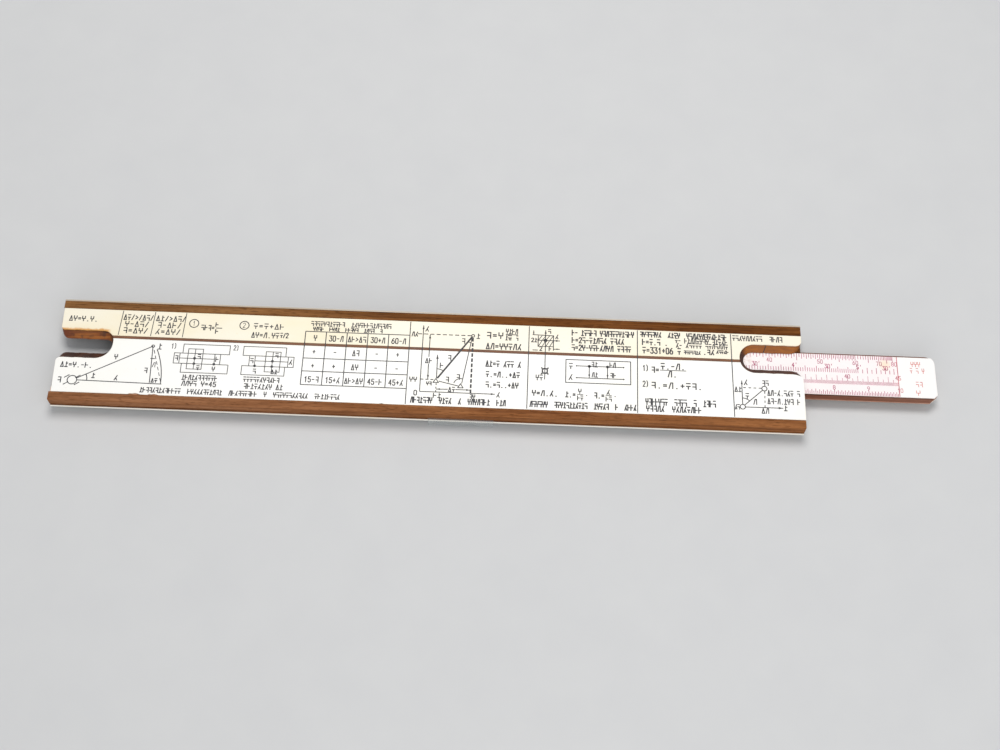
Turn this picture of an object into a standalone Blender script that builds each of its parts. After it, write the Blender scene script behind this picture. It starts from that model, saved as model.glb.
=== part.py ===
"""Wooden slide rule, lying face down with its slide drawn out to the right.

The stock is two wooden rails joined by a thin wooden back plate. Celluloid strips cover its back
and front, and the north side, with a narrow wooden inlay between the two strips on the back. The
back plate has a bevelled notch at each end, where the scales on the slide's back are read. The
slide runs in the well between the rails on side tongues. The clear cursor rides on the front face,
held by hooks in a groove along each side of the stock.

X runs along the rule, Y across it towards the north side, and Z up out of the back face. The origin
is the centre of the back face. Lengths are in metres.
"""
import math

import bmesh
import bpy

# Stock
STOCK_LENGTH = 0.278
NORTH_FACE_Y = 0.0219
SOUTH_FACE_Y = -0.0209
FRONT_FACE_Z = -0.0060
GAP = 0.0003
GLUE_LINE = 0.0002

# Back veneers, in the recess between the two wooden margins
BACK_VENEER_THICKNESS = 0.0005
RECESS_HALF_WIDTH = 0.0176
SLIT_Y = 0.00605
SLIT_WIDTH = 0.0014
LEFT_SETBACK = 0.0005
MARGIN_TOP_Z = -0.0001

# Wood
PLATE_BOTTOM_Z = -0.0024
LEDGE_Z = PLATE_BOTTOM_Z - GLUE_LINE
RAIL_BOTTOM_Z = -0.0048
EDGE_STRIP_THICKNESS = 0.00055
EDGE_STRIP_BOTTOM_Z = -0.0035
CURSOR_GROOVE_TOP_Z = -0.0037
CURSOR_GROOVE_BOTTOM_Z = -0.00445
CURSOR_GROOVE_DEPTH = 0.0017

# Slide
SLIDE_LENGTH = STOCK_LENGTH
SLIDE_OUT = 0.0503
SLIDE_Y = 0.0031
SLIDE_HALF_WIDTH = 0.0084
SLIDE_SIDE_CLEARANCE = 0.0004
SLIDE_TOP_Z = -0.00265
SLIDE_BACK_VENEER = 0.0004
SLIDE_FRONT_VENEER = 0.0007
NORTH_TONGUE_WIDTH = 0.0008
SOUTH_TONGUE_WIDTH = 0.0017
TONGUE_TOP_Z = -0.0034
TONGUE_BOTTOM_Z = -0.0042
TONGUE_CLEARANCE = 0.0002
SLIDE_NORTH_CORNER_RADIUS = 0.0034
SLIDE_SOUTH_CHAMFER = 0.0030
PLAN_OVERRUN = 0.001

# Notches, each with its outline at the back face and at the foot of its bevelled walls. X is measured
# from the middle of the rule. A lip is the elliptical corner where a wall meets the end of the rule.
NOTCHES = {
    "left": {
        "side": -1,
        "mouth_x": STOCK_LENGTH / 2 - LEFT_SETBACK,
        "top": {
            "end_x": 0.1184,
            "low_y": -0.0033,
            "high_y": 0.0084,
            "low_radius": 0.0063,
            "high_radius": 0.0042,
            "low_lip": (0.0018, 0.0016),
            "high_lip": (0.0013, 0.0013),
        },
        "foot": {
            "end_x": 0.11955,
            "low_y": -0.00005,
            "high_y": 0.0058,
            "low_radius": 0.0033,
            "high_radius": 0.0024,
            "low_lip": (0.0037, 0.00485),
            "high_lip": (0.0046, 0.0039),
        },
    },
    "right": {
        "side": 1,
        "mouth_x": STOCK_LENGTH / 2,
        "top": {
            "end_x": 0.1155,
            "low_y": 0.0015,
            "high_y": 0.0132,
            "low_radius": 0.0058,
            "high_radius": 0.0058,
            "low_lip": (0.0050, 0.0022),
            "high_lip": (0.0024, 0.0020),
        },
        "foot": {
            "end_x": 0.11725,
            "low_y": 0.0037,
            "high_y": 0.0109,
            "low_radius": 0.0036,
            "high_radius": 0.0035,
            "low_lip": (0.0065, 0.0044),
            "high_lip": (0.0047, 0.0043),
        },
    },
}
NOTCH_OVERRUN = 0.002
LIP_STEPS = 8
CORNER_STEPS = 10

# Cursor
CURSOR_X = 0.0124
CURSOR_LENGTH = 0.024
RUNNER_THICKNESS = 0.0005
RUNNER_GAP = 0.0002
HOOK_TOP_Z = -0.0039
HOOK_BOTTOM_Z = -0.00425
HOOK_REACH = 0.0010
FLANGE_WIDTH = 0.0050
FLANGE_TOP_Z = FRONT_FACE_Z - GAP
FLANGE_BOTTOM_Z = FLANGE_TOP_Z - 0.0006
WINDOW_TOP_Z = FLANGE_BOTTOM_Z - GLUE_LINE
WINDOW_BOTTOM_Z = WINDOW_TOP_Z - 0.0011
SCREW_SPREAD_X = 0.0085
SCREW_CLEARANCE = 0.00005
SCREW_SLOT_WIDTH = 0.0002
SCREW_SLOT_DEPTH = 0.0002
HOLE_OVERRUN = 0.0005
SCREW_INSET_Y = 0.0027
SHANK_RADIUS = 0.0005
SHANK_HOLE_RADIUS = 0.0007
HEAD_RADIUS = 0.0010
HEAD_HEIGHT = 0.0004
COUNTERBORE_RADIUS = 0.00125
COUNTERBORE_DEPTH = 0.0006
SPRING_LENGTH = 0.018
SPRING_BOW = 0.0004
SPRING_THICKNESS = 0.00015
SPRING_HEIGHT = 0.0004
SPRING_STEPS = 16

WELL_HALF_WIDTH = SLIDE_HALF_WIDTH + SLIDE_SIDE_CLEARANCE
WELL_NORTH_Y = SLIDE_Y + WELL_HALF_WIDTH
WELL_SOUTH_Y = SLIDE_Y - WELL_HALF_WIDTH
NORTH_WOOD_Y = NORTH_FACE_Y - EDGE_STRIP_THICKNESS - GLUE_LINE
FRONT_VENEER_TOP_Z = RAIL_BOTTOM_Z - GLUE_LINE
NORTH_RUNNER_Y = NORTH_FACE_Y + RUNNER_GAP + RUNNER_THICKNESS
SOUTH_RUNNER_Y = SOUTH_FACE_Y - RUNNER_GAP - RUNNER_THICKNESS
SCREW_SEGMENTS = 24

# name: (red, green, blue), roughness, metallic
MATERIALS = {
    "stained_wood": ((0.27, 0.11, 0.045), 0.55, 0.0),
    "cream_celluloid": ((0.93, 0.89, 0.72), 0.30, 0.0),
    "white_celluloid": ((0.93, 0.93, 0.90), 0.30, 0.0),
    "slide_wood": ((0.36, 0.20, 0.13), 0.55, 0.0),
    "pink_white_celluloid": ((0.93, 0.88, 0.86), 0.30, 0.0),
    "clear_acrylic": ((0.85, 0.90, 0.90), 0.08, 0.0),
    "steel": ((0.60, 0.60, 0.60), 0.30, 1.0),
    "spring_bronze": ((0.65, 0.45, 0.22), 0.35, 1.0),
}


def remove_everything():
    for item in list(bpy.data.objects):
        bpy.data.objects.remove(item, do_unlink=True)


def new_collection(name):
    collection = bpy.data.collections.new(name)
    bpy.context.scene.collection.children.link(collection)
    return collection


def make_materials():
    made = {}
    for name, (colour, roughness, metallic) in MATERIALS.items():
        material = bpy.data.materials.new(name)
        material.use_nodes = True
        shader = material.node_tree.nodes["Principled BSDF"]
        shader.inputs["Base Color"].default_value = (*colour, 1.0)
        shader.inputs["Roughness"].default_value = roughness
        shader.inputs["Metallic"].default_value = metallic
        made[name] = material
    return made


def move_to(item, collection):
    for old in list(item.users_collection):
        old.objects.unlink(item)
    collection.objects.link(item)


def finish_part(item, material):
    """Give a part its material and file it with the other parts."""
    item.data.materials.clear()
    item.data.materials.append(materials[material])
    item.data.shade_smooth()
    item.data.set_sharp_from_angle(angle=math.radians(30))
    move_to(item, parts)
    return item


def finish_cutter(item):
    item.hide_render = True
    item.display_type = "WIRE"
    move_to(item, cutters)
    return item


def outline_solid(name, points, depth, location, rotation=(0.0, 0.0, 0.0)):
    """A closed flat outline, extruded half of its depth to each side of its own plane."""
    curve = bpy.data.curves.new(name, "CURVE")
    curve.dimensions = "2D"
    curve.fill_mode = "BOTH"
    curve.extrude = depth / 2
    spline = curve.splines.new("POLY")
    spline.points.add(len(points) - 1)
    for point, (u, v) in zip(spline.points, points):
        point.co = (u, v, 0.0, 1.0)
    spline.use_cyclic_u = True
    guide = bpy.data.objects.new(name + "_outline", curve)
    guide.location = location
    guide.rotation_euler = rotation
    bpy.context.scene.collection.objects.link(guide)
    bpy.context.view_layer.update()
    evaluated = guide.evaluated_get(bpy.context.evaluated_depsgraph_get())
    mesh = bpy.data.meshes.new_from_object(evaluated)
    edit = bmesh.new()
    edit.from_mesh(mesh)
    bmesh.ops.remove_doubles(edit, verts=edit.verts, dist=0.000001)
    bmesh.ops.recalc_face_normals(edit, faces=edit.faces)
    edit.to_mesh(mesh)
    edit.free()
    item = bpy.data.objects.new(name, mesh)
    item.matrix_world = guide.matrix_world.copy()
    bpy.data.objects.remove(guide, do_unlink=True)
    return item


def bar(name, profile, length, centre_x):
    """A bar along X from a profile of (y, z) points."""
    return outline_solid(name, profile, length, (centre_x, 0.0, 0.0), (math.pi / 2, 0.0, math.pi / 2))


def slab(name, outline, top_z, bottom_z):
    """A flat piece from a plan outline of (x, y) points."""
    return outline_solid(name, outline, top_z - bottom_z, (0.0, 0.0, (top_z + bottom_z) / 2))


def box(name, low, high):
    bpy.ops.mesh.primitive_cube_add(size=1.0)
    item = bpy.context.object
    item.name = name
    item.scale = [b - a for a, b in zip(low, high)]
    bpy.ops.object.transform_apply(location=False, rotation=False, scale=True)
    item.location = [(a + b) / 2 for a, b in zip(low, high)]
    return item


def cylinder(name, radius, top_z, bottom_z, x, y):
    bpy.ops.mesh.primitive_cylinder_add(vertices=SCREW_SEGMENTS, radius=radius, depth=top_z - bottom_z)
    item = bpy.context.object
    item.name = name
    item.location = (x, y, (top_z + bottom_z) / 2)
    return item


def boolean(item, cutter, operation="DIFFERENCE"):
    modifier = item.modifiers.new(operation.lower() + "_" + cutter.name, "BOOLEAN")
    modifier.operation = operation
    modifier.solver = "EXACT"
    modifier.object = cutter


def arc(centre, radii, start, end, steps):
    """Points on a round or elliptical arc, with its angles in degrees."""
    points = []
    for step in range(steps + 1):
        angle = math.radians(start + (end - start) * step / steps)
        points.append((centre[0] + radii[0] * math.cos(angle), centre[1] + radii[1] * math.sin(angle)))
    return points


def notch_outline(notch, level):
    """Plan outline of a notch at its top or at its foot, from the upper lip round to the lower lip."""
    shape = notch[level]
    mouth_x = notch["mouth_x"]
    end_x = shape["end_x"]
    low_y = shape["low_y"]
    high_y = shape["high_y"]
    low_radius = shape["low_radius"]
    high_radius = shape["high_radius"]
    low_lip = shape["low_lip"]
    high_lip = shape["high_lip"]
    points = [(mouth_x + NOTCH_OVERRUN, high_y + high_lip[1])]
    points += arc((mouth_x - high_lip[0], high_y + high_lip[1]), high_lip, 0, -90, LIP_STEPS)
    high_centre = (end_x + high_radius, high_y - high_radius)
    points += arc(high_centre, (high_radius, high_radius), 90, 180, CORNER_STEPS)
    low_centre = (end_x + low_radius, low_y + low_radius)
    points += arc(low_centre, (low_radius, low_radius), 180, 270, CORNER_STEPS)
    points += arc((mouth_x - low_lip[0], low_y - low_lip[1]), low_lip, 90, 0, LIP_STEPS)
    points.append((mouth_x + NOTCH_OVERRUN, low_y - low_lip[1]))
    return [(notch["side"] * x, y) for x, y in points]


def notch_cutter(name, notch):
    """Upright through the veneer, sloping through the plate, then upright again below it."""
    bevel_top_z = -BACK_VENEER_THICKNESS - GLUE_LINE / 2
    clear_z = LEDGE_Z + GLUE_LINE / 2
    levels = [(NOTCH_OVERRUN, "top"), (bevel_top_z, "top"), (PLATE_BOTTOM_Z, "foot"), (clear_z, "foot")]
    edit = bmesh.new()
    rings = []
    for z, level in levels:
        rings.append([edit.verts.new((x, y, z)) for x, y in notch_outline(notch, level)])
    for upper, lower in zip(rings, rings[1:]):
        count = len(upper)
        for index in range(count):
            following = (index + 1) % count
            edit.faces.new((upper[index], upper[following], lower[following], lower[index]))
    edit.faces.new(rings[0])
    edit.faces.new(rings[-1])
    bmesh.ops.recalc_face_normals(edit, faces=edit.faces)
    mesh = bpy.data.meshes.new(name)
    edit.to_mesh(mesh)
    edit.free()
    return finish_cutter(bpy.data.objects.new(name, mesh))


def rail_profile(outer_y, side, lip_y, tongue_width):
    """Profile of a rail; side is 1 for the north rail and -1 for the south rail."""
    well_y = SLIDE_Y + side * WELL_HALF_WIDTH
    tongue_groove_y = well_y + side * (tongue_width + TONGUE_CLEARANCE)
    cursor_groove_y = lip_y - side * CURSOR_GROOVE_DEPTH
    return [
        (side * RECESS_HALF_WIDTH, MARGIN_TOP_Z),
        (outer_y, MARGIN_TOP_Z),
        (outer_y, CURSOR_GROOVE_TOP_Z),
        (cursor_groove_y, CURSOR_GROOVE_TOP_Z),
        (cursor_groove_y, CURSOR_GROOVE_BOTTOM_Z),
        (lip_y, CURSOR_GROOVE_BOTTOM_Z),
        (lip_y, RAIL_BOTTOM_Z),
        (well_y, RAIL_BOTTOM_Z),
        (well_y, TONGUE_BOTTOM_Z - TONGUE_CLEARANCE),
        (tongue_groove_y, TONGUE_BOTTOM_Z - TONGUE_CLEARANCE),
        (tongue_groove_y, TONGUE_TOP_Z + TONGUE_CLEARANCE),
        (well_y, TONGUE_TOP_Z + TONGUE_CLEARANCE),
        (well_y, LEDGE_Z),
        (side * RECESS_HALF_WIDTH, LEDGE_Z),
    ]


def make_stock(notch_cutters):
    half = STOCK_LENGTH / 2
    north_lip_y = NORTH_FACE_Y - GLUE_LINE
    north_profile = rail_profile(NORTH_WOOD_Y, 1, north_lip_y, NORTH_TONGUE_WIDTH)
    south_profile = rail_profile(SOUTH_FACE_Y, -1, SOUTH_FACE_Y, SOUTH_TONGUE_WIDTH)
    finish_part(bar("upper_rail", north_profile, STOCK_LENGTH, 0.0), "stained_wood")
    finish_part(bar("lower_rail", south_profile, STOCK_LENGTH, 0.0), "stained_wood")

    left_x = LEFT_SETBACK - half
    inner = RECESS_HALF_WIDTH - GLUE_LINE
    plate_top_z = -BACK_VENEER_THICKNESS - GLUE_LINE
    slit_north_y = SLIT_Y + SLIT_WIDTH / 2
    slit_south_y = SLIT_Y - SLIT_WIDTH / 2
    veneer_z = -BACK_VENEER_THICKNESS
    plate = box("back_plate", (left_x, -inner, PLATE_BOTTOM_Z), (half, inner, plate_top_z))
    upper_veneer = box("back_veneer_upper", (left_x, slit_north_y, veneer_z), (half, inner, 0.0))
    lower_veneer = box("back_veneer_lower", (left_x, -inner, veneer_z), (half, slit_south_y, 0.0))
    inlay_low = (left_x, slit_south_y + GLUE_LINE, plate_top_z + GLUE_LINE)
    inlay = box("inlay_strip", inlay_low, (half, slit_north_y - GLUE_LINE, MARGIN_TOP_Z))
    for item, material in (
        (plate, "stained_wood"),
        (inlay, "stained_wood"),
        (upper_veneer, "cream_celluloid"),
        (lower_veneer, "white_celluloid"),
    ):
        for cutter in notch_cutters:
            boolean(item, cutter)
        finish_part(item, material)

    strip_low = (-half, NORTH_FACE_Y - EDGE_STRIP_THICKNESS, EDGE_STRIP_BOTTOM_Z)
    strip = box("edge_veneer_north", strip_low, (half, NORTH_FACE_Y, 0.0))
    finish_part(strip, "white_celluloid")
    upper_front_low = (-half, WELL_NORTH_Y, FRONT_FACE_Z)
    upper_front = box("front_veneer_upper", upper_front_low, (half, north_lip_y, FRONT_VENEER_TOP_Z))
    finish_part(upper_front, "white_celluloid")
    lower_front_low = (-half, SOUTH_FACE_Y, FRONT_FACE_Z)
    lower_front = box("front_veneer_lower", lower_front_low, (half, WELL_SOUTH_Y, FRONT_VENEER_TOP_Z))
    finish_part(lower_front, "white_celluloid")


def slide_plan():
    """Outline of the slide from above: rounded corners to the north, chamfered ones to the south.

    Between its corners it runs past the tongues, so that only the corners cut the slide's sides.
    """
    half = SLIDE_LENGTH / 2
    north_y = SLIDE_HALF_WIDTH + NORTH_TONGUE_WIDTH
    south_y = -SLIDE_HALF_WIDTH - SOUTH_TONGUE_WIDTH
    north_clear_y = north_y + PLAN_OVERRUN
    south_clear_y = south_y - PLAN_OVERRUN
    radius = SLIDE_NORTH_CORNER_RADIUS
    chamfer = SLIDE_SOUTH_CHAMFER
    points = arc((half - radius, north_y - radius), (radius, radius), 0, 90, LIP_STEPS)
    points += [(half - radius, north_clear_y), (radius - half, north_clear_y)]
    points += arc((radius - half, north_y - radius), (radius, radius), 90, 180, LIP_STEPS)
    points += [(-half, south_y + chamfer), (chamfer - half, south_y)]
    points += [(chamfer - half, south_clear_y), (half - chamfer, south_clear_y)]
    points += [(half - chamfer, south_y), (half, south_y + chamfer)]
    return [(SLIDE_OUT + x, SLIDE_Y + y) for x, y in points]


def half_slide_profile(side, tongue_width, top_z, bottom_z):
    """One side of the core's profile from its top, with the tongue; side is 1 to the north."""
    inner_y = SLIDE_Y + side * SLIDE_HALF_WIDTH
    outer_y = inner_y + side * tongue_width
    return [
        (inner_y, top_z),
        (inner_y, TONGUE_TOP_Z),
        (outer_y, TONGUE_TOP_Z),
        (outer_y, TONGUE_BOTTOM_Z),
        (inner_y, TONGUE_BOTTOM_Z),
        (inner_y, bottom_z),
    ]


def make_slide():
    back_veneer_z = SLIDE_TOP_Z - SLIDE_BACK_VENEER
    front_veneer_z = FRONT_FACE_Z + SLIDE_FRONT_VENEER
    plan = finish_cutter(slab("slide_plan", slide_plan(), 0.0, FRONT_FACE_Z - PLAN_OVERRUN))
    length = SLIDE_LENGTH + PLAN_OVERRUN
    core_top_z = back_veneer_z - GLUE_LINE
    core_bottom_z = front_veneer_z + GLUE_LINE
    north_profile = half_slide_profile(1, NORTH_TONGUE_WIDTH, core_top_z, core_bottom_z)
    south_profile = half_slide_profile(-1, SOUTH_TONGUE_WIDTH, core_top_z, core_bottom_z)
    core = bar("slide_core", north_profile + south_profile[::-1], length, SLIDE_OUT)
    low_x = SLIDE_OUT - length / 2
    high_x = SLIDE_OUT + length / 2
    low_y = SLIDE_Y - SLIDE_HALF_WIDTH
    high_y = SLIDE_Y + SLIDE_HALF_WIDTH
    back = box("slide_back_veneer", (low_x, low_y, back_veneer_z), (high_x, high_y, SLIDE_TOP_Z))
    front = box("slide_front_veneer", (low_x, low_y, FRONT_FACE_Z), (high_x, high_y, front_veneer_z))
    for item, material in (
        (core, "slide_wood"),
        (back, "pink_white_celluloid"),
        (front, "white_celluloid"),
    ):
        boolean(item, plan, "INTERSECT")
        finish_part(item, material)


def runner_profile(outer_y, face_y, side):
    """Hook in the stock's groove, outer leg, and the flange that the window is screwed to."""
    inner_y = outer_y - side * RUNNER_THICKNESS
    tip_y = face_y - side * HOOK_REACH
    flange_y = outer_y - side * FLANGE_WIDTH
    return [
        (tip_y, HOOK_TOP_Z),
        (outer_y, HOOK_TOP_Z),
        (outer_y, FLANGE_BOTTOM_Z),
        (flange_y, FLANGE_BOTTOM_Z),
        (flange_y, FLANGE_TOP_Z),
        (inner_y, FLANGE_TOP_Z),
        (inner_y, HOOK_BOTTOM_Z),
        (tip_y, HOOK_BOTTOM_Z),
    ]


def make_screw(name, x, y):
    """A slotted screw whose head fills the counterbore, seen from below."""
    head_bottom_z = WINDOW_BOTTOM_Z + SCREW_CLEARANCE
    head_top_z = WINDOW_BOTTOM_Z + HEAD_HEIGHT
    shank_bottom_z = head_bottom_z + SCREW_CLEARANCE
    screw = cylinder(name, SHANK_RADIUS, FLANGE_TOP_Z - SCREW_CLEARANCE, shank_bottom_z, x, y)
    head = cylinder(name + "_head", HEAD_RADIUS, head_top_z, head_bottom_z, x, y)
    slot_half = SCREW_SLOT_WIDTH / 2
    slot_end = HEAD_RADIUS + HOLE_OVERRUN
    slot_low = (x - slot_end, y - slot_half, head_bottom_z - HOLE_OVERRUN)
    slot_high = (x + slot_end, y + slot_half, head_bottom_z + SCREW_SLOT_DEPTH)
    boolean(screw, finish_cutter(head), "UNION")
    boolean(screw, finish_cutter(box(name + "_slot", slot_low, slot_high)))
    return finish_part(screw, "steel")


def make_spring():
    """A bowed leaf between the north hook and the floor of the stock's groove."""
    half = SPRING_LENGTH / 2
    middle_y = NORTH_FACE_Y - GLUE_LINE - CURSOR_GROOVE_DEPTH + GAP
    inner = []
    outer = []
    for step in range(SPRING_STEPS + 1):
        x = -half + SPRING_LENGTH * step / SPRING_STEPS
        y = middle_y + SPRING_BOW * (x / half) ** 2
        inner.append((CURSOR_X + x, y))
        outer.append((CURSOR_X + x, y + SPRING_THICKNESS))
    hook_z = (HOOK_TOP_Z + HOOK_BOTTOM_Z) / 2
    top_z = hook_z + SPRING_HEIGHT / 2
    finish_part(slab("cursor_spring", inner + outer[::-1], top_z, top_z - SPRING_HEIGHT), "spring_bronze")


def make_cursor():
    north_profile = runner_profile(NORTH_RUNNER_Y, NORTH_FACE_Y, 1)
    south_profile = runner_profile(SOUTH_RUNNER_Y, SOUTH_FACE_Y, -1)
    north = bar("cursor_runner_north", north_profile, CURSOR_LENGTH, CURSOR_X)
    south = bar("cursor_runner_south", south_profile, CURSOR_LENGTH, CURSOR_X)
    half = CURSOR_LENGTH / 2
    window_low = (CURSOR_X - half, SOUTH_RUNNER_Y, WINDOW_BOTTOM_Z)
    window = box("cursor_window", window_low, (CURSOR_X + half, NORTH_RUNNER_Y, WINDOW_TOP_Z))
    hole_top_z = FLANGE_TOP_Z + HOLE_OVERRUN
    hole_bottom_z = WINDOW_BOTTOM_Z - HOLE_OVERRUN
    seat_top_z = WINDOW_BOTTOM_Z + COUNTERBORE_DEPTH
    number = 0
    for runner, y in ((north, NORTH_RUNNER_Y - SCREW_INSET_Y), (south, SOUTH_RUNNER_Y + SCREW_INSET_Y)):
        for x in (CURSOR_X - SCREW_SPREAD_X, CURSOR_X + SCREW_SPREAD_X):
            number += 1
            hole_name = "screw_hole_" + str(number)
            seat_name = "screw_seat_" + str(number)
            hole = finish_cutter(cylinder(hole_name, SHANK_HOLE_RADIUS, hole_top_z, hole_bottom_z, x, y))
            seat = finish_cutter(cylinder(seat_name, COUNTERBORE_RADIUS, seat_top_z, hole_bottom_z, x, y))
            boolean(runner, hole)
            boolean(window, hole)
            boolean(window, seat)
            make_screw("cursor_screw_" + str(number), x, y)
    for item in (north, south, window):
        finish_part(item, "clear_acrylic")
    make_spring()


remove_everything()
parts = new_collection("slide_rule")
cutters = new_collection("cutters")
materials = make_materials()
notch_cutters = [notch_cutter("notch_" + name, notch) for name, notch in NOTCHES.items()]
make_stock(notch_cutters)
make_slide()
make_cursor()
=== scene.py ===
"""The visual model of the wooden slide rule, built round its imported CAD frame.

The rule lies face down with its slide drawn out to the right. Its back shows two celluloid veneers with
printed diagrams, two wooden margins, and a bevelled notch at each end that shows the slide's scales.

X runs along the rule, Y across it to the north side, and Z up out of the back face. Sizes in this
script are in millimetres, and turn into metres only where a mesh, a light or the camera is made.
"""

import math
import random

import bmesh
import bpy
from mathutils import Matrix, Vector


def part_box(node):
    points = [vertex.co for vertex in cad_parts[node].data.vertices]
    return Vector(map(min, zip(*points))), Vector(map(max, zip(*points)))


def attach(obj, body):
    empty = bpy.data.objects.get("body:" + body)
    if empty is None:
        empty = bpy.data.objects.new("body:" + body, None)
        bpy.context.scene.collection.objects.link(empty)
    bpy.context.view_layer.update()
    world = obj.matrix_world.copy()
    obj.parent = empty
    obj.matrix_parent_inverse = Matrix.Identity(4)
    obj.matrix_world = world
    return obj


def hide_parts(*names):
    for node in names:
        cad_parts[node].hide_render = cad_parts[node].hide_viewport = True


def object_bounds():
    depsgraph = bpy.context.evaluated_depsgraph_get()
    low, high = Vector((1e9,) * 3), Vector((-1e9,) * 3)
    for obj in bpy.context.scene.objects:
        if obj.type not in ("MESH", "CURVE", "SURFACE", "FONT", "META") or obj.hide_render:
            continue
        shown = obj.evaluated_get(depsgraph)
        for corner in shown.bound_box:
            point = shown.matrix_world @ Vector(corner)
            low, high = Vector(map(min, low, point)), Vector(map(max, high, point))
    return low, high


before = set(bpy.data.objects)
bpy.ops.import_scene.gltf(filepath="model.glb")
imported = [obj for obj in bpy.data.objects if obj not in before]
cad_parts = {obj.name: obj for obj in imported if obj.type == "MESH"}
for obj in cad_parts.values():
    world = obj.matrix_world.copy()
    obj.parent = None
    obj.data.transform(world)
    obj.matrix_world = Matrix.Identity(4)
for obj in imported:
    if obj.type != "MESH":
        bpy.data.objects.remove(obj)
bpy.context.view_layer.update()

MM = 0.001

# Camera: a 54 mm lens 27 degrees off the rule's own upright, leaning a little to its left
CAMERA_PLACE = (26.53, -256.39, 495.12)
CAMERA_TARGET = (26.23, -3.88, 0.0)
CAMERA_LENS = 54.0
CAMERA_LEAN = math.radians(2.145)
SENSOR_WIDTH = 36.0

# Heights of the back face and its print, and widths of its seams
VENEER_TOP_Z = -0.03
INK_TOP_Z = -0.005
INK_DEPTH = 0.06
VENEER_SEAM_NORTH = 0.14
VENEER_SEAM_SOUTH = 0.03
GLUE_LINE = 0.02
MARGIN_SEAM = 0.17

# Widths of rounded edges
WOOD_EDGE = 0.16
WINDOW_EDGE = 0.12
SLIDE_EDGE = 0.10
VENEER_EDGE = 0.06
FINE_EDGE = 0.05
SCREW_EDGE = 0.03
SPRING_EDGE = 0.02
SHARP_ANGLE = math.radians(30)
FLAT_ANGLE = math.radians(1)
SAME_PLACE = 0.002

# Back of the stock: the veneers with the inlay between them, and the plate below
SLIT_Y = 5.9
SLIT_WIDTH = 1.2
INLAY_TOP_Z = -0.05
INLAY_GAP = 0.02
VENEER_THICKNESS = 0.5
PLATE_BOTTOM_Z = -2.4
PLATE_WEST = (-138.5, -138.5)
VENEER_WEST = (-138.68, -138.15)

# Chips in the white veneer's south edge: middle, width and depth
CHIPS = ((-107.6, 4.8, 0.55), (-100.6, 4.2, 0.45), (-16.8, 1.6, 0.25))
CHIP_SHAPE = ((-0.5, 0.0), (-0.34, 0.7), (-0.12, 0.55), (0.06, 1.0), (0.28, 0.6), (0.5, 0.0))

# Rails
SLIDE_Y = 3.1
WELL_HALF_WIDTH = 8.8
RAIL_BOTTOM_Z = -4.8
RAIL_CORNER = 0.25
RAIL_CORNER_STEPS = 4
NORTH_TAPER = 0.7
TAPERED_FROM_Y = 19.4
TONGUE_GROOVE = {"north_depth": 1.0, "south_depth": 1.9, "top_z": -3.2, "bottom_z": -4.4}
CURSOR_GROOVE = {"depth": 1.7, "top_z": -3.7, "bottom_z": -4.45}

# Notches: outlines at the back face and at the foot of the bevelled walls, with elliptical lips
NOTCHES = {
    "left": {
        "side": -1,
        "mouth_x": 138.5,
        "top": dict(
            end_x=118.4, low_y=-3.3, high_y=8.4, low_radius=6.3, high_radius=4.2,
            low_lip=(1.8, 1.6), high_lip=(1.3, 1.3),
        ),
        "foot": dict(
            end_x=119.1, low_y=-0.05, high_y=5.8, low_radius=3.3, high_radius=2.4,
            low_lip=(2.8, 4.6), high_lip=(3.0, 3.9),
        ),
    },
    "right": {
        "side": 1,
        "mouth_x": 139.0,
        "top": dict(
            end_x=115.5, low_y=1.1, high_y=13.2, low_radius=5.8, high_radius=5.8,
            low_lip=(4.4, 2.0), high_lip=(2.4, 2.0),
        ),
        "foot": dict(
            end_x=117.25, low_y=3.7, high_y=10.9, low_radius=3.6, high_radius=3.5,
            low_lip=(4.4, 3.6), high_lip=(4.7, 4.3),
        ),
    },
}
LIP_STEPS = 12
END_STEPS = 18
WALL_STEPS = 16
WALL_WOBBLE = 0.07

# Index line on the upper wall of the right notch: X at the top and at the foot
INDEX_LINE = (125.7, 124.9)
INDEX_WIDTH = 0.30
INDEX_PROUD = 0.03

# Scales
SCALE_LENGTH = 250.0
SCALE_START = -SCALE_LENGTH / 2
SCALES_OUT = 50.1

# Print: widths of its lines, and how its marks are stepped in height
FINE_LINE = 0.28
THIN_LINE = 0.34
BOLD_LINE = 0.66
LETTER_LINE = 0.37
HEAVY_LETTER_LINE = 0.45
SMALL_LETTER_LINE = 0.24
NUMBER_LINE = 0.2
TICK_LINE = 0.16
SLIDE_TICK_LINE = 0.22
HAIRLINE = 0.12
HAIRLINE_INSET = 5.5
PRINT_INSET = 0.08
PRINT_PROUD = 0.02
INK_LAYER = 0.0012
INK_LAYERS = 7
MARK_SEED = 11


# ---- geometry helpers

def box_mm(node):
    low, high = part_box(node)
    return low / MM, high / MM


def arc(centre, radii, start, end, steps):
    """Points on a round or elliptical arc, with its angles in degrees."""
    points = []
    for step in range(steps + 1):
        angle = math.radians(start + (end - start) * step / steps)
        points.append((centre[0] + radii[0] * math.cos(angle), centre[1] + radii[1] * math.sin(angle)))
    return points


def tube(ring, far_ring):
    """A closed solid between two flat rings with the same number of points."""
    count = len(ring)
    faces = [list(range(count)), list(range(2 * count - 1, count - 1, -1))]
    for index in range(count):
        following = (index + 1) % count
        faces.append([index, count + index, count + following, following])
    return ring + far_ring, faces


def prism(outline, top_z, bottom_z, bottom_outline=None):
    """An upright solid under an outline, which may have another one at its bottom."""
    top = [(x, y, top_z) for x, y in outline]
    return tube(top, [(x, y, bottom_z) for x, y in bottom_outline or outline])


def bar(profile, low_x, high_x):
    """A bar along X from a profile of (y, z) points."""
    return tube([(low_x, y, z) for y, z in profile], [(high_x, y, z) for y, z in profile])


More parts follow.
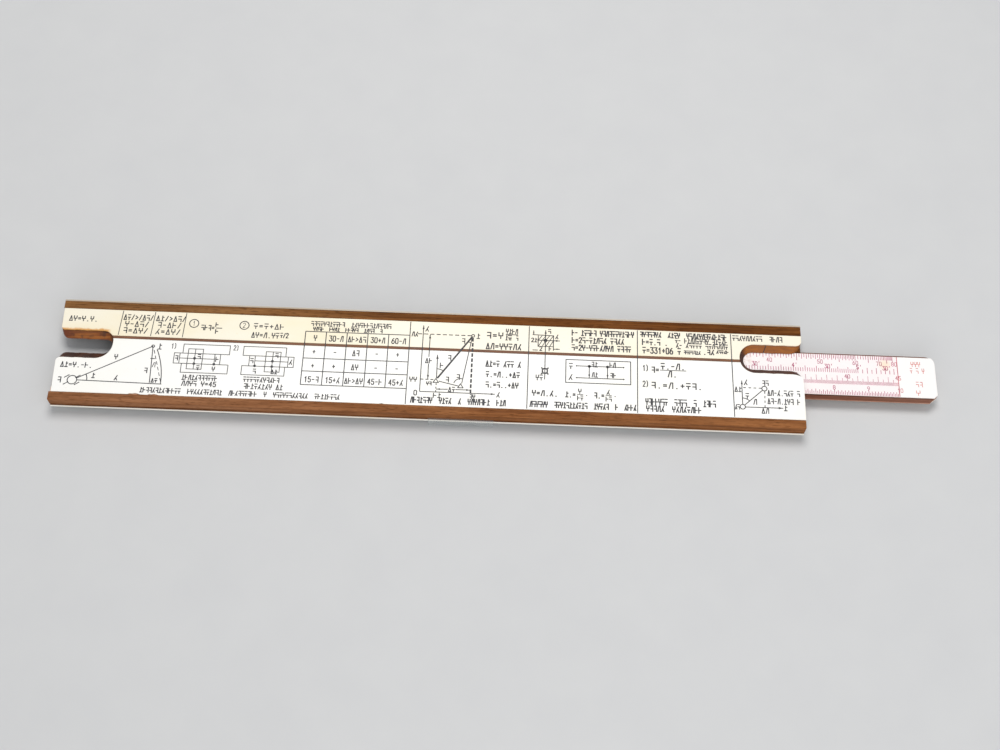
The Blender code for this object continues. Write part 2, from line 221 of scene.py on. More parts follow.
def round_edges(item, width):
    """Rounds every sharp edge, and keeps the flat faces' shading flat."""
    bevel = item.modifiers.new("rounded_edges", "BEVEL")
    bevel.width = width * MM
    bevel.segments = 2
    bevel.limit_method = "ANGLE"
    bevel.angle_limit = SHARP_ANGLE
    normals = item.modifiers.new("flat_faces", "WEIGHTED_NORMAL")
    normals.keep_sharp = True


def add_piece(name, mesh, material, body, replaced, edge, made_whole=False):
    """Adds a mesh as a piece; made_whole joins the small triangles of its flat faces."""
    edit = bmesh.new()
    edit.from_mesh(mesh)
    if made_whole:
        bmesh.ops.remove_doubles(edit, verts=edit.verts, dist=SAME_PLACE * MM)
        bmesh.ops.dissolve_limit(edit, angle_limit=FLAT_ANGLE, verts=edit.verts, edges=edit.edges)
    bmesh.ops.recalc_face_normals(edit, faces=edit.faces)
    edit.to_mesh(mesh)
    edit.free()
    mesh.materials.clear()
    mesh.materials.append(material)
    item = bpy.data.objects.new(name, mesh)
    bpy.context.scene.collection.objects.link(item)
    if edge:
        mesh.shade_smooth()
        round_edges(item, edge)
    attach(item, body)
    if replaced:
        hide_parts(*replaced)
    return item


def new_piece(name, solid, material, body, replaced=(), edge=0.0):
    """A piece from points in millimetres and faces."""
    points, faces = solid
    mesh = bpy.data.meshes.new(name)
    mesh.from_pydata([(x * MM, y * MM, z * MM) for x, y, z in points], [], faces)
    return add_piece(name, mesh, material, body, replaced, edge)


def softened_copy(name, node, material, body, edge):
    """A piece with a CAD node's own shape and rounded edges."""
    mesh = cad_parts[node].data.copy()
    return add_piece(name, mesh, material, body, (node,), edge, True)


# ---- materials

def colour(red, green, blue):
    """A linear colour from ordinary 0 to 255 screen values."""
    linear = []
    for value in (red, green, blue):
        share = value / 255
        linear.append(share / 12.92 if share <= 0.04045 else ((share + 0.055) / 1.055) ** 2.4)
    return (*linear, 1.0)


class Shading:
    """A material's nodes, with a short way to add and join them."""

    def __init__(self, name):
        self.material = bpy.data.materials.new(name)
        self.material.use_nodes = True
        self.tree = self.material.node_tree
        self.shader = self.tree.nodes["Principled BSDF"]
        self.place = self.node("TexCoord").outputs["Object"]

    def node(self, kind, inputs=None, **settings):
        made = self.tree.nodes.new("ShaderNode" + kind)
        for name, value in settings.items():
            setattr(made, name, value)
        for name, value in (inputs or {}).items():
            self.set(made.inputs[name], value)
        return made

    def set(self, socket, value):
        if isinstance(value, bpy.types.NodeSocket):
            self.tree.links.new(value, socket)
        else:
            socket.default_value = value

    def shade(self, **inputs):
        for name, value in inputs.items():
            self.set(self.shader.inputs[name.replace("_", " ")], value)

    def stretched(self, along, turn=0.0, shift=(0.0, 0.0, 0.0)):
        """Places scaled along X, so that noise draws streaks, with a turn about Z and a shift."""
        inputs = {"Vector": self.place, "Scale": (along, 1.0, 1.0), "Location": shift}
        inputs["Rotation"] = (0.0, 0.0, turn)
        return self.node("Mapping", inputs).outputs["Vector"]

    def noise(self, vector, scale, detail=3.0, roughness=0.5, distortion=0.0):
        inputs = {"Vector": vector, "Scale": scale, "Detail": detail}
        inputs.update({"Roughness": roughness, "Distortion": distortion})
        return self.node("TexNoise", inputs).outputs["Fac"]

    def ramp(self, factor, low=0.3, high=0.7, from_value=0.0, to_value=1.0):
        inputs = {"Value": factor, "From Min": low, "From Max": high}
        inputs.update({"To Min": from_value, "To Max": to_value})
        return self.node("MapRange", inputs, interpolation_type="SMOOTHSTEP").outputs["Result"]

    def math(self, operation, first, second):
        made = self.node("Math", operation=operation)
        self.set(made.inputs[0], first)
        self.set(made.inputs[1], second)
        return made.outputs[0]

    def times(self, first, second):
        return self.math("MULTIPLY", first, second)

    def mix(self, factor, first, second):
        made = self.node("Mix", data_type="RGBA")
        self.set(made.inputs[0], factor)
        self.set(made.inputs[6], first)
        self.set(made.inputs[7], second)
        return made.outputs[2]

    def axis(self, name):
        return self.node("SeparateXYZ", {"Vector": self.place}).outputs[name]

    def edges(self, radius):
        """1 near an edge of the piece and 0 away from edges."""
        rounded = self.node("Bevel", {"Radius": radius * MM}, samples=6).outputs["Normal"]
        flat = self.node("NewGeometry").outputs["True Normal"]
        alike = self.node("VectorMath", {0: rounded, 1: flat}, operation="DOT_PRODUCT").outputs["Value"]
        return self.ramp(alike, 1.0, 0.82)

    def bump(self, height, strength, distance):
        inputs = {"Height": height, "Strength": strength, "Distance": distance * MM}
        self.shade(Normal=self.node("Bump", inputs).outputs["Normal"])


def wood(name, dark, middle, light, west=None, shadow_line_z=None):
    """Stained wood with its grain along X: figure, fine fibres, pores and worn edges.

    West has two colours of its western end; the last argument places a painted shadow line under its veneer.
    """
    look = Shading(name)
    figure = look.noise(look.stretched(0.035, 0.02), 520.0, 5.0, 0.62, 0.25)
    fibres = look.noise(look.stretched(0.045, -0.01), 2600.0, 3.0, 0.7)
    pores = look.noise(look.stretched(0.075, 0.01, (0.3, 0.1, 0.2)), 4200.0, 1.0, 0.5)
    patches = look.noise(look.stretched(0.35), 48.0, 2.0, 0.5)
    base = look.mix(look.ramp(figure, 0.30, 0.72), dark, light)
    base = look.mix(look.ramp(fibres, 0.36, 0.66, 0.0, 0.55), base, middle)
    base = look.mix(look.ramp(patches, 0.35, 0.70, 0.0, 0.22), base, light)
    if west:
        share = look.ramp(look.axis("X"), 0.03, -0.10, 0.0, 0.75)
        base = look.mix(share, base, look.mix(look.ramp(figure), *west))
    pore_share = look.ramp(pores, 0.33, 0.43, 0.55, 0.0)
    base = look.mix(pore_share, base, (dark[0] * 0.45, dark[1] * 0.42, dark[2] * 0.4, 1.0))
    worn = look.times(look.edges(0.22), look.ramp(patches, 0.40, 0.66, 0.10, 0.75))
    pale = (min(1.0, light[0] * 1.5), min(1.0, light[1] * 1.55), min(1.0, light[2] * 1.6), 1.0)
    base = look.mix(worn, base, pale)
    # Painted shadow: a dark line along the top of the wood's side, just under its veneer.
    if shadow_line_z:
        painted_shadow_line = look.ramp(look.axis("Z"), shadow_line_z - 0.0006, shadow_line_z - 0.0003, 0.0, 0.8)
        base = look.mix(painted_shadow_line, base, colour(84, 46, 36))
    look.shade(Base_Color=base)
    look.shade(Roughness=look.ramp(fibres, 0.3, 0.7, 0.42, 0.62))
    look.shade(Specular_IOR_Level=0.04)
    relief = look.math("SUBTRACT", look.times(fibres, 0.6), pore_share)
    look.bump(relief, 0.45, 0.03)
    return look.material


def inlay_wood(name):
    """The brown strip let in between the veneers, darkened along both of its edges."""
    look = Shading(name)
    streaks = look.noise(look.stretched(0.06), 1700.0, 4.0, 0.6, 0.2)
    clouds = look.noise(look.stretched(0.4), 90.0, 3.0, 0.6)
    base = look.mix(look.ramp(streaks), colour(88, 48, 24), colour(128, 78, 44))
    base = look.mix(look.ramp(clouds, 0.35, 0.7, 0.0, 0.6), base, colour(140, 94, 60))
    away = look.math("ABSOLUTE", look.math("SUBTRACT", look.axis("Y"), SLIT_Y * MM), 0.0)
    base = look.mix(look.ramp(away, 0.00030, 0.00055, 0.0, 0.85), base, colour(74, 42, 26))
    look.shade(Base_Color=base, Roughness=look.ramp(streaks, 0.3, 0.7, 0.5, 0.65))
    look.bump(streaks, 0.3, 0.02)
    return look.material


def notch_wood(name):
    """The back plate: warm stain on the upper bevels, dark painted shade on the others, bare under the chips.
    """
    look = Shading(name)
    along = look.axis("X")
    streaks = look.noise(look.stretched(0.10), 1300.0, 4.0, 0.6, 0.3)
    blots = look.noise(look.stretched(0.7), 300.0, 4.0, 0.6, 0.6)
    ragged = look.noise(look.stretched(0.8, 0.0, (0.2, 0.0, 0.0)), 520.0, 3.0, 0.6)
    height = look.math("ADD", look.axis("Z"), look.times(ragged, 0.0009))
    left_wall = look.mix(look.ramp(streaks), colour(122, 60, 14), colour(166, 98, 34))
    left_wall = look.mix(look.ramp(height, -0.0010, -0.0004, 0.0, 0.5), left_wall, colour(92, 48, 14))
    left_wall = look.mix(look.ramp(blots, 0.52, 0.68, 0.0, 0.8), left_wall, colour(62, 30, 12))
    mouth = look.ramp(along, -0.1325, -0.1375, 0.0, 0.65)
    left_wall = look.mix(mouth, left_wall, colour(108, 44, 16))
    right_wall = look.mix(look.ramp(streaks, 0.25, 0.75), colour(132, 72, 8), colour(168, 98, 26))
    right_wall = look.mix(look.ramp(blots, 0.50, 0.72, 0.0, 0.5), right_wall, colour(104, 54, 14))
    warm = look.mix(look.ramp(along, -0.01, 0.01), left_wall, right_wall)
    # Painted shade: every face that does not point south gets a nearly black brown.
    painted_shade_faces = look.mix(look.ramp(blots), colour(54, 27, 15), colour(84, 46, 27))
    north = look.node("SeparateXYZ", {"Vector": look.node("NewGeometry").outputs["Normal"]}).outputs["Y"]
    near_chips = look.ramp(along, -0.095, -0.097)
    bare = look.times(near_chips, look.ramp(look.axis("Y"), -0.0150, -0.0160))
    painted_shade_faces = look.mix(bare, painted_shade_faces, colour(226, 172, 134))
    # Faces pointing south show the warm stain; the rest keep the painted shade.
    look.shade(Base_Color=look.mix(look.ramp(north, -0.30, -0.62), painted_shade_faces, warm))
    look.shade(Roughness=look.ramp(streaks, 0.3, 0.7, 0.42, 0.62))
    look.bump(look.math("ADD", streaks, blots), 0.35, 0.04)
    return look.material


def notch_stain(look):
    """Near 1 in a ragged band along the upper edge of the left notch, and 0 elsewhere."""
    ragged = look.noise(look.stretched(0.8), 420.0, 4.0, 0.65)
    edge_y = look.math("SUBTRACT", look.axis("Y"), look.times(ragged, 0.0016))
    band = look.ramp(edge_y, 0.0087, 0.0078)
    return look.times(band, look.ramp(look.axis("X"), -0.1195, -0.1215, 0.0, 0.9))


def celluloid(name, base, tint, edge_tint, edge_share, stained=False):
    """Aged celluloid: cloudy yellowing, darker edges, fine scratches and a soft gloss."""
    look = Shading(name)
    clouds = look.noise(look.stretched(0.5), 38.0, 3.0, 0.55)
    specks = look.noise(look.place, 900.0, 2.0, 0.5)
    hairs = look.noise(look.stretched(0.05, 0.35), 2600.0, 1.0)
    rubs = look.noise(look.stretched(0.03, -0.05), 1900.0, 1.0)
    skin = look.mix(look.ramp(clouds, 0.45, 0.75), base, tint)
    skin = look.mix(look.ramp(specks, 0.66, 0.76, 0.0, 0.18), skin, edge_tint)
    edge = look.times(look.edges(0.45), look.ramp(clouds, 0.35, 0.65, 0.4, 1.0))
    skin = look.mix(look.times(edge, edge_share), skin, edge_tint)
    if stained:
        skin = look.mix(notch_stain(look), skin, colour(218, 152, 62))
    look.shade(Base_Color=skin)
    scratch = look.math("MAXIMUM", look.ramp(hairs, 0.66, 0.72), look.ramp(rubs, 0.68, 0.74))
    gloss = look.ramp(clouds, 0.3, 0.7, 0.30, 0.38)
    look.shade(Roughness=look.math("ADD", gloss, look.times(scratch, 0.16)))
    look.shade(Specular_IOR_Level=0.35)
    look.bump(look.math("SUBTRACT", look.times(clouds, 0.5), scratch), 0.10, 0.01)
    return look.material


def slide_celluloid(name):
    """The slide's back: nearly white, a small yellow stain, and pinkish-brown patches where the right notch
    ends.
    """
    look = Shading(name)
    clouds = look.noise(look.stretched(0.4), 60.0, 3.0, 0.55)
    rubs = look.noise(look.stretched(0.03, 0.04), 2100.0, 1.0)
    skin = look.mix(look.ramp(clouds, 0.35, 0.70), colour(254, 249, 249), colour(253, 243, 243))
    from_end = look.math("SUBTRACT", look.axis("X"), 0.1753)
    skin = look.mix(look.ramp(from_end, -0.001, 0.001), skin, colour(254, 252, 251))
    spot = look.node("VectorMath", {0: look.place, 1: (0.1705, 0.0080, -0.00265)}, operation="DISTANCE")
    stain = look.ramp(spot.outputs["Value"], 0.0034, 0.0006, 0.0, 0.50)
    skin = look.mix(stain, skin, colour(254, 222, 172))
    # Pinkish-brown patches beside the right notch's closed end, fading out along the notch.
    end_patches = look.noise(look.place, 500.0, 3.0, 0.6)
    mouth = look.times(look.ramp(look.axis("X"), 0.1215, 0.1172), look.ramp(look.axis("X"), 0.1080, 0.1125))
    in_notch = look.times(mouth, look.ramp(end_patches, 0.40, 0.62))
    skin = look.mix(look.times(in_notch, 0.7), skin, colour(206, 158, 132))
    skin = look.mix(look.times(look.edges(0.4), 0.35), skin, colour(238, 222, 205))
    look.shade(Base_Color=skin)
    look.shade(Roughness=look.ramp(rubs, 0.60, 0.72, 0.30, 0.46))
    look.shade(Specular_IOR_Level=0.35)
    look.bump(rubs, 0.06, 0.01)
    return look.material


def ink(name, fresh, faded):
    """Printer's ink, worn thin in places."""
    look = Shading(name)
    wear = look.noise(look.place, 420.0, 4.0, 0.65)
    look.shade(Base_Color=look.mix(look.ramp(wear, 0.42, 0.68), fresh, faded))
    look.shade(Roughness=look.ramp(wear, 0.3, 0.7, 0.45, 0.62))
    return look.material


def red_ink(name):
    """Crimson ink that turns orange past the end of the slide's scales."""
    look = Shading(name)
    wear = look.noise(look.place, 500.0, 4.0, 0.65)
    crimson = look.mix(look.ramp(wear, 0.40, 0.68), colour(166, 44, 92), colour(204, 112, 148))
    orange = look.mix(look.ramp(wear, 0.40, 0.68), colour(204, 64, 44), colour(230, 128, 100))
    share = look.ramp(look.axis("X"), 0.172, 0.178, 0.0, 0.8)
    look.shade(Base_Color=look.mix(share, crimson, orange))
    look.shade(Roughness=look.ramp(wear, 0.3, 0.7, 0.42, 0.6))
    return look.material


def acrylic(name):
    """Clear acrylic with faint handling scratches."""
    look = Shading(name)
    hairs = look.noise(look.stretched(0.06, 0.5), 3000.0, 1.0)
    look.shade(Base_Color=(0.86, 0.90, 0.90, 1.0))
    look.shade(Alpha=0.16)
    look.shade(IOR=1.49)
    look.shade(Roughness=look.ramp(hairs, 0.62, 0.72, 0.02, 0.14))
    return look.material


def metal(name, base, tarnish, roughness):
    """Turned or rolled metal with brushed marks and a little tarnish."""
    look = Shading(name)
    marks = look.noise(look.stretched(0.3), 5200.0, 2.0)
    spots = look.noise(look.place, 1400.0, 3.0, 0.6)
    look.shade(Base_Color=look.mix(look.ramp(spots, 0.50, 0.72, 0.0, 0.7), base, tarnish))
    look.shade(Metallic=1.0)
    look.shade(Roughness=look.ramp(marks, 0.3, 0.7, roughness, roughness + 0.15))
    look.bump(marks, 0.15, 0.01)
    return look.material


def make_materials():
    return {
        "north_margin": wood(
            "stained_wood_north", colour(72, 36, 10), colour(110, 63, 22), colour(138, 86, 42),
            (colour(112, 74, 40), colour(158, 116, 74)),
        ),
        "south_margin": wood(
            "stained_wood_south", colour(96, 52, 24), colour(138, 84, 46), colour(168, 112, 68),
            (colour(120, 76, 46), colour(162, 114, 82)),
        ),
        "plate": notch_wood("stained_wood_plate_painted_shade"),
        "inlay": inlay_wood("stained_wood_inlay"),
        "slide_wood": wood(
            "slide_wood", colour(142, 90, 68), colour(188, 134, 110), colour(216, 168, 144),
            shadow_line_z=box_mm("slide_back_veneer")[0].z * MM,
        ),
        "cream": celluloid(
            "cream_celluloid", colour(250, 243, 224), colour(248, 236, 204), colour(240, 205, 140), 0.65, True
        ),
        "white": celluloid(
            "white_celluloid", colour(254, 253, 250), colour(254, 252, 244), colour(240, 226, 196), 0.30
        ),
        "edge_strip": celluloid(
            "white_celluloid_edge", colour(196, 184, 168), colour(180, 164, 140), colour(150, 126, 96), 0.4
        ),
        "front": celluloid(
            "white_celluloid_front", colour(250, 247, 238), colour(248, 240, 220), colour(232, 214, 180), 0.30
        ),
        "slide_back": slide_celluloid("slide_celluloid"),
        "black_ink": ink("black_ink", colour(24, 26, 34), colour(60, 60, 68)),
        "red_ink": red_ink("red_ink"),
        "acrylic": acrylic("clear_acrylic"),
        "steel": metal("screw_steel", colour(196, 196, 198), colour(140, 132, 122), 0.28),
        "bronze": metal("spring_bronze", colour(205, 158, 98), colour(140, 100, 62), 0.30),
    }


# ---- stock

def wobble(x, phase):
    """The slight waviness of a hand-filed edge, in millimetres."""
    return WALL_WOBBLE * (math.sin(1.1 * x + phase) + 0.6 * math.sin(2.7 * x + 2 * phase))


def wavy_run(start_x, end_x, y, phase):
    """Points along a straight wall, a little wavy between its ends."""
    points = []
    for step in range(1, WALL_STEPS):
        share = step / WALL_STEPS
        x = start_x + (end_x - start_x) * share
        points.append((x, y + wobble(x, phase) * math.sin(math.pi * share)))
    return points


def notch_outline(notch, level):
    """Wall of a notch at its top or its foot, from its upper lip round to its lower lip."""
    shape = notch[level]
    mouth_x = notch["mouth_x"]
    high_lip = shape["high_lip"]
    low_lip = shape["low_lip"]
    high_radius = shape["high_radius"]
    low_radius = shape["low_radius"]
    high_x = shape["end_x"] + high_radius
    low_x = shape["end_x"] + low_radius
    high_y = shape["high_y"]
    low_y = shape["low_y"]
    phase = 1.0 if level == "top" else 2.0
    points = arc((mouth_x - high_lip[0], high_y + high_lip[1]), high_lip, 0, -90, LIP_STEPS)
    points += wavy_run(mouth_x - high_lip[0], high_x, high_y, phase)
    points += arc((high_x, high_y - high_radius), (high_radius, high_radius), 90, 180, END_STEPS)
    points += arc((low_x, low_y + low_radius), (low_radius, low_radius), 180, 270, END_STEPS)
    points += wavy_run(low_x, mouth_x - low_lip[0], low_y, phase + 1.5)
    points += arc((mouth_x - low_lip[0], low_y - low_lip[1]), low_lip, 90, 0, LIP_STEPS)
    return [(notch["side"] * x, y) for x, y in points]


def chipped_run(edge_y):
    """Points along the white veneer's south edge, from west to east, with its chips."""
    points = []
    for middle_x, width, depth in CHIPS:
        points += [(middle_x + width * across, edge_y + depth * inward) for across, inward in CHIP_SHAPE]
    return points


def notched_outline(east_x, west, low_y, high_y, level, chipped=False):
    """Plan of a plate with both notches; west has the X of its upper and lower west corners."""
    points = [(west[0], high_y)]
    points += notch_outline(NOTCHES["left"], level)
    points.append((west[1], low_y))
    if chipped:
        points += chipped_run(low_y)
    points.append((east_x, low_y))
    points += notch_outline(NOTCHES["right"], level)[::-1]
    points.append((east_x, high_y))
    return points


def clipped(outline, edge_y, keep_above):
    """The part of an outline above or below a line along X."""
    kept = []
    sign = 1 if keep_above else -1
    for (x0, y0), (x1, y1) in zip(outline, outline[1:] + outline[:1]):
        inside0 = sign * (y0 - edge_y) >= 0
        inside1 = sign * (y1 - edge_y) >= 0
        if inside0:
            kept.append((x0, y0))
        if inside0 != inside1:
            share = (edge_y - y0) / (y1 - y0)
            kept.append((x0 + (x1 - x0) * share, edge_y))
    return kept


def rail_profile(side, tongue_depth, margin_y, outer_y, lip_y, top_z):
    """Profile of a rail; side is 1 for the north rail and -1 for the south rail."""
    well_y = SLIDE_Y + side * WELL_HALF_WIDTH
    tongue_y = well_y + side * tongue_depth
    groove_y = lip_y - side * CURSOR_GROOVE["depth"]
    ledge_z = PLATE_BOTTOM_Z - GLUE_LINE
    foot_z = RAIL_BOTTOM_Z - GLUE_LINE
    profile = [(margin_y, top_z), (outer_y, top_z)]
    profile += [(outer_y, CURSOR_GROOVE["top_z"]), (groove_y, CURSOR_GROOVE["top_z"])]
    profile += [(groove_y, CURSOR_GROOVE["bottom_z"]), (lip_y, CURSOR_GROOVE["bottom_z"])]
    profile += [(lip_y, foot_z), (well_y, foot_z)]
    profile += [(well_y, TONGUE_GROOVE["bottom_z"]), (tongue_y, TONGUE_GROOVE["bottom_z"])]
    profile += [(tongue_y, TONGUE_GROOVE["top_z"]), (well_y, TONGUE_GROOVE["top_z"])]
    return profile + [(well_y, ledge_z), (margin_y, ledge_z)]


def round_corners(item, outer_y, top_z):
    """Rounds the upright corners at the ends of a rail's outer face."""
    edit = bmesh.new()
    edit.from_mesh(item.data)
    corners = []
    for edge in edit.edges:
        run = edge.verts[0].co - edge.verts[1].co
        upright = abs(run.x) + abs(run.y) < SAME_PLACE * MM
        at_face = abs(edge.verts[0].co.y - outer_y * MM) < SAME_PLACE * MM
        at_top = max(vert.co.z for vert in edge.verts) > (top_z - SAME_PLACE) * MM
        if upright and at_face and at_top:
            corners.append(edge)
    bmesh.ops.bevel(
        edit, geom=corners, offset=RAIL_CORNER * MM, segments=RAIL_CORNER_STEPS, profile=0.5, affect="EDGES"
    )
    edit.to_mesh(item.data)
    edit.free()
    item.data.shade_smooth()


def narrow_west(item):
    """The stock's north side runs a little inwards towards the west end."""
    length = 2 * NOTCHES["right"]["mouth_x"] * MM
    for vert in item.data.vertices:
        if vert.co.y > TAPERED_FROM_Y * MM:
            vert.co.y -= NORTH_TAPER * MM * (0.5 - vert.co.x / length)


def make_rails(looks, margin_y, north_y):
    """The two rails, with grooves for the slide's tongues and for the cursor's runners."""
    low, high = box_mm("lower_rail")
    upper_high = box_mm("upper_rail")[1]
    rails = (
        ("north", "upper_rail", 1, margin_y, north_y, upper_high.y, upper_high.z),
        ("south", "lower_rail", -1, -margin_y, low.y, low.y, high.z),
    )
    for side, node, sign, inner_y, outer_y, lip_y, top_z in rails:
        profile = rail_profile(sign, TONGUE_GROOVE[side + "_depth"], inner_y, outer_y, lip_y, top_z)
        rail = new_piece(
            side + "_rail", bar(profile, -high.x, high.x), looks[side + "_margin"], "stock",
            (node,), WOOD_EDGE,
        )
        round_corners(rail, outer_y, top_z)
        narrow_west(rail)


def make_stock(looks):
    east_x = box_mm("lower_rail")[1].x
    margin_y = MARGIN_SEAM - box_mm("back_veneer_lower")[0].y
    make_rails(looks, margin_y, box_mm("edge_veneer_north")[0].y - GLUE_LINE)

    plate_y = margin_y - GLUE_LINE
    plate_top = notched_outline(east_x, PLATE_WEST, -plate_y, plate_y, "top")
    plate_foot = notched_outline(east_x, PLATE_WEST, -plate_y, plate_y, "foot")
    slit_high = SLIT_Y + SLIT_WIDTH / 2
    slit_low = SLIT_Y - SLIT_WIDTH / 2
    south_edge_y = VENEER_SEAM_SOUTH - margin_y
    plan = notched_outline(east_x, VENEER_WEST, south_edge_y, margin_y - VENEER_SEAM_NORTH, "top", True)
    inlay = clipped(clipped(plan, slit_low + INLAY_GAP, True), slit_high - INLAY_GAP, False)
    bottom_z = VENEER_TOP_Z - VENEER_THICKNESS
    plate = prism(plate_top, bottom_z - GLUE_LINE, PLATE_BOTTOM_Z, plate_foot)
    strip = prism(inlay, INLAY_TOP_Z, bottom_z)
    cream = prism(clipped(plan, slit_high, True), VENEER_TOP_Z, bottom_z)
    white = prism(clipped(plan, slit_low, False), VENEER_TOP_Z, bottom_z)
    flat_pieces = (
        ("plate", plate, "plate", "stained_wood", "back_plate", FINE_EDGE),
        ("inlay_strip", strip, "inlay", "stained_wood", "inlay_strip", VENEER_EDGE),
        ("cream_veneer", cream, "cream", "cream_celluloid", "back_veneer_upper", VENEER_EDGE),
        ("white_veneer", white, "white", "white_celluloid", "back_veneer_lower", VENEER_EDGE),
    )
    for name, solid, look, slot, node, edge in flat_pieces:
        new_piece(name, solid, looks[look], "stock", (node,), edge)

    front_pieces = (
        ("front_scale_north", "front_veneer_upper", "front"),
        ("front_scale_south", "front_veneer_lower", "front"),
        ("edge_strip", "edge_veneer_north", "edge_strip"),
    )
    for name, node, look in front_pieces:
        narrow_west(softened_copy(name, node, looks[look], "stock", VENEER_EDGE))


def make_slide(looks):
    softened_copy("slide_body", "slide_core", looks["slide_wood"], "slide", SLIDE_EDGE)
    veneers = (("slide_back", "slide_back", "slide_celluloid"), ("slide_front", "front", "white_celluloid"))
    for name, look, slot in veneers:
        softened_copy(name, name + "_veneer", looks[look], "slide", VENEER_EDGE)


def make_cursor(looks):
    softened_copy("window", "cursor_window", looks["acrylic"], "cursor", WINDOW_EDGE)
    for name in ("runner_north", "runner_south"):
        softened_copy(name, "cursor_" + name, looks["acrylic"], "cursor", FINE_EDGE)
    for number in range(1, 5):
        name = "screw_" + str(number)
        softened_copy(name, "cursor_" + name, looks["steel"], "cursor", SCREW_EDGE)
    softened_copy("spring", "cursor_spring", looks["bronze"], "cursor", SPRING_EDGE)


# ---- print

# Strokes of each sign, on a grid 4 wide and 6 high
STROKES = {
    "0": [[(1, 0), (0, 1), (0, 5), (1, 6), (3, 6), (4, 5), (4, 1), (3, 0), (1, 0)]],
    "1": [[(1, 4.5), (2.4, 6), (2.4, 0)]],
    "2": [[(0, 5), (1, 6), (3, 6), (4, 5), (4, 4), (0, 0), (4, 0)]],
    "3": [[(0, 6), (4, 6), (2, 3.5), (3, 3.5), (4, 2.5), (4, 1), (3, 0), (1, 0), (0, 1)]],
    "4": [[(3, 0), (3, 6), (0, 2), (4, 2)]],
    "5": [[(4, 6), (0.6, 6), (0.3, 3.4), (3, 3.6), (4, 2.6), (4, 1), (3, 0), (1, 0), (0, 1)]],
    "6": [[(3, 6), (1, 4.6), (0, 2), (0, 1), (1, 0), (3, 0), (4, 1), (4, 2.4), (3, 3.4), (1, 3.4), (0, 2)]],
    "7": [[(0, 6), (4, 6), (1.5, 0)]],
    "8": [
        [(1, 3.2), (0, 4.2), (0, 5), (1, 6), (3, 6), (4, 5), (4, 4.2), (3, 3.2), (1, 3.2)],
        [(1, 3.2), (0, 2.2), (0, 1), (1, 0), (3, 0), (4, 1), (4, 2.2), (3, 3.2)],
    ],
    "9": [[(4, 4), (3, 2.6), (1, 2.6), (0, 3.6), (0, 5), (1, 6), (3, 6), (4, 5), (4, 4), (3, 1.4), (1, 0)]],
    "+": [[(2, 1.4), (2, 4.6)], [(0.4, 3), (3.6, 3)]],
    "-": [[(0.6, 3), (3.4, 3)]],
    "=": [[(0.4, 2.2), (3.6, 2.2)], [(0.4, 3.8), (3.6, 3.8)]],
    ">": [[(0.4, 4.8), (3.6, 3), (0.4, 1.2)]],
    "/": [[(0.4, 0), (3.6, 6)]],
    ")": [[(1.0, 6.6), (2.4, 5), (2.4, 1.2), (1.0, -0.4)]],
    "'": [[(2, 6.4), (1.6, 4.8)]],
    ".": [[(1.8, 0.1), (2.3, 0.1)]],
    "^": [[(0, 0), (2, 6), (4, 0), (0, 0)]],
    " ": [],
}
# Made-up marks that stand for lettering, drawn wherever the text says #
MARKS = [
    [[(0, 0), (0, 6)], [(0, 3), (3.6, 3)]],
    [[(4, 0), (4, 6)], [(0.6, 6), (4, 6)], [(0.6, 2.6), (4, 2.6)]],
    [[(0, 6), (4, 6)], [(0, 3), (4, 3)], [(4, 3), (4, 0)]],
    [[(0, 6), (4, 6)], [(0, 3), (4, 3)], [(2, 0), (2, 3)]],
    [[(0, 0), (4, 0)], [(2, 0), (2, 6)], [(2, 4.4), (4, 4.4)]],
    [[(0, 0), (2, 6)], [(2, 6), (4, 6)], [(4, 6), (4, 0)]],
    [[(0, 0), (3.6, 6)], [(2, 3), (3.8, 0)]],
    [[(0, 6), (0, 3), (4, 3), (4, 6)], [(2, 3), (2, 0)]],
]
GRID_WIDTH = 4
GRID_HEIGHT = 6
SIGN_PITCH = 0.82
SIGN_SHARE = 0.64
SIGN_INDENT = 0.14
DIGIT_PITCH = 0.72
OVERRUN_SHARE = 0.4
HEAD_SHARE = 0.28
DOT_STEPS = 12


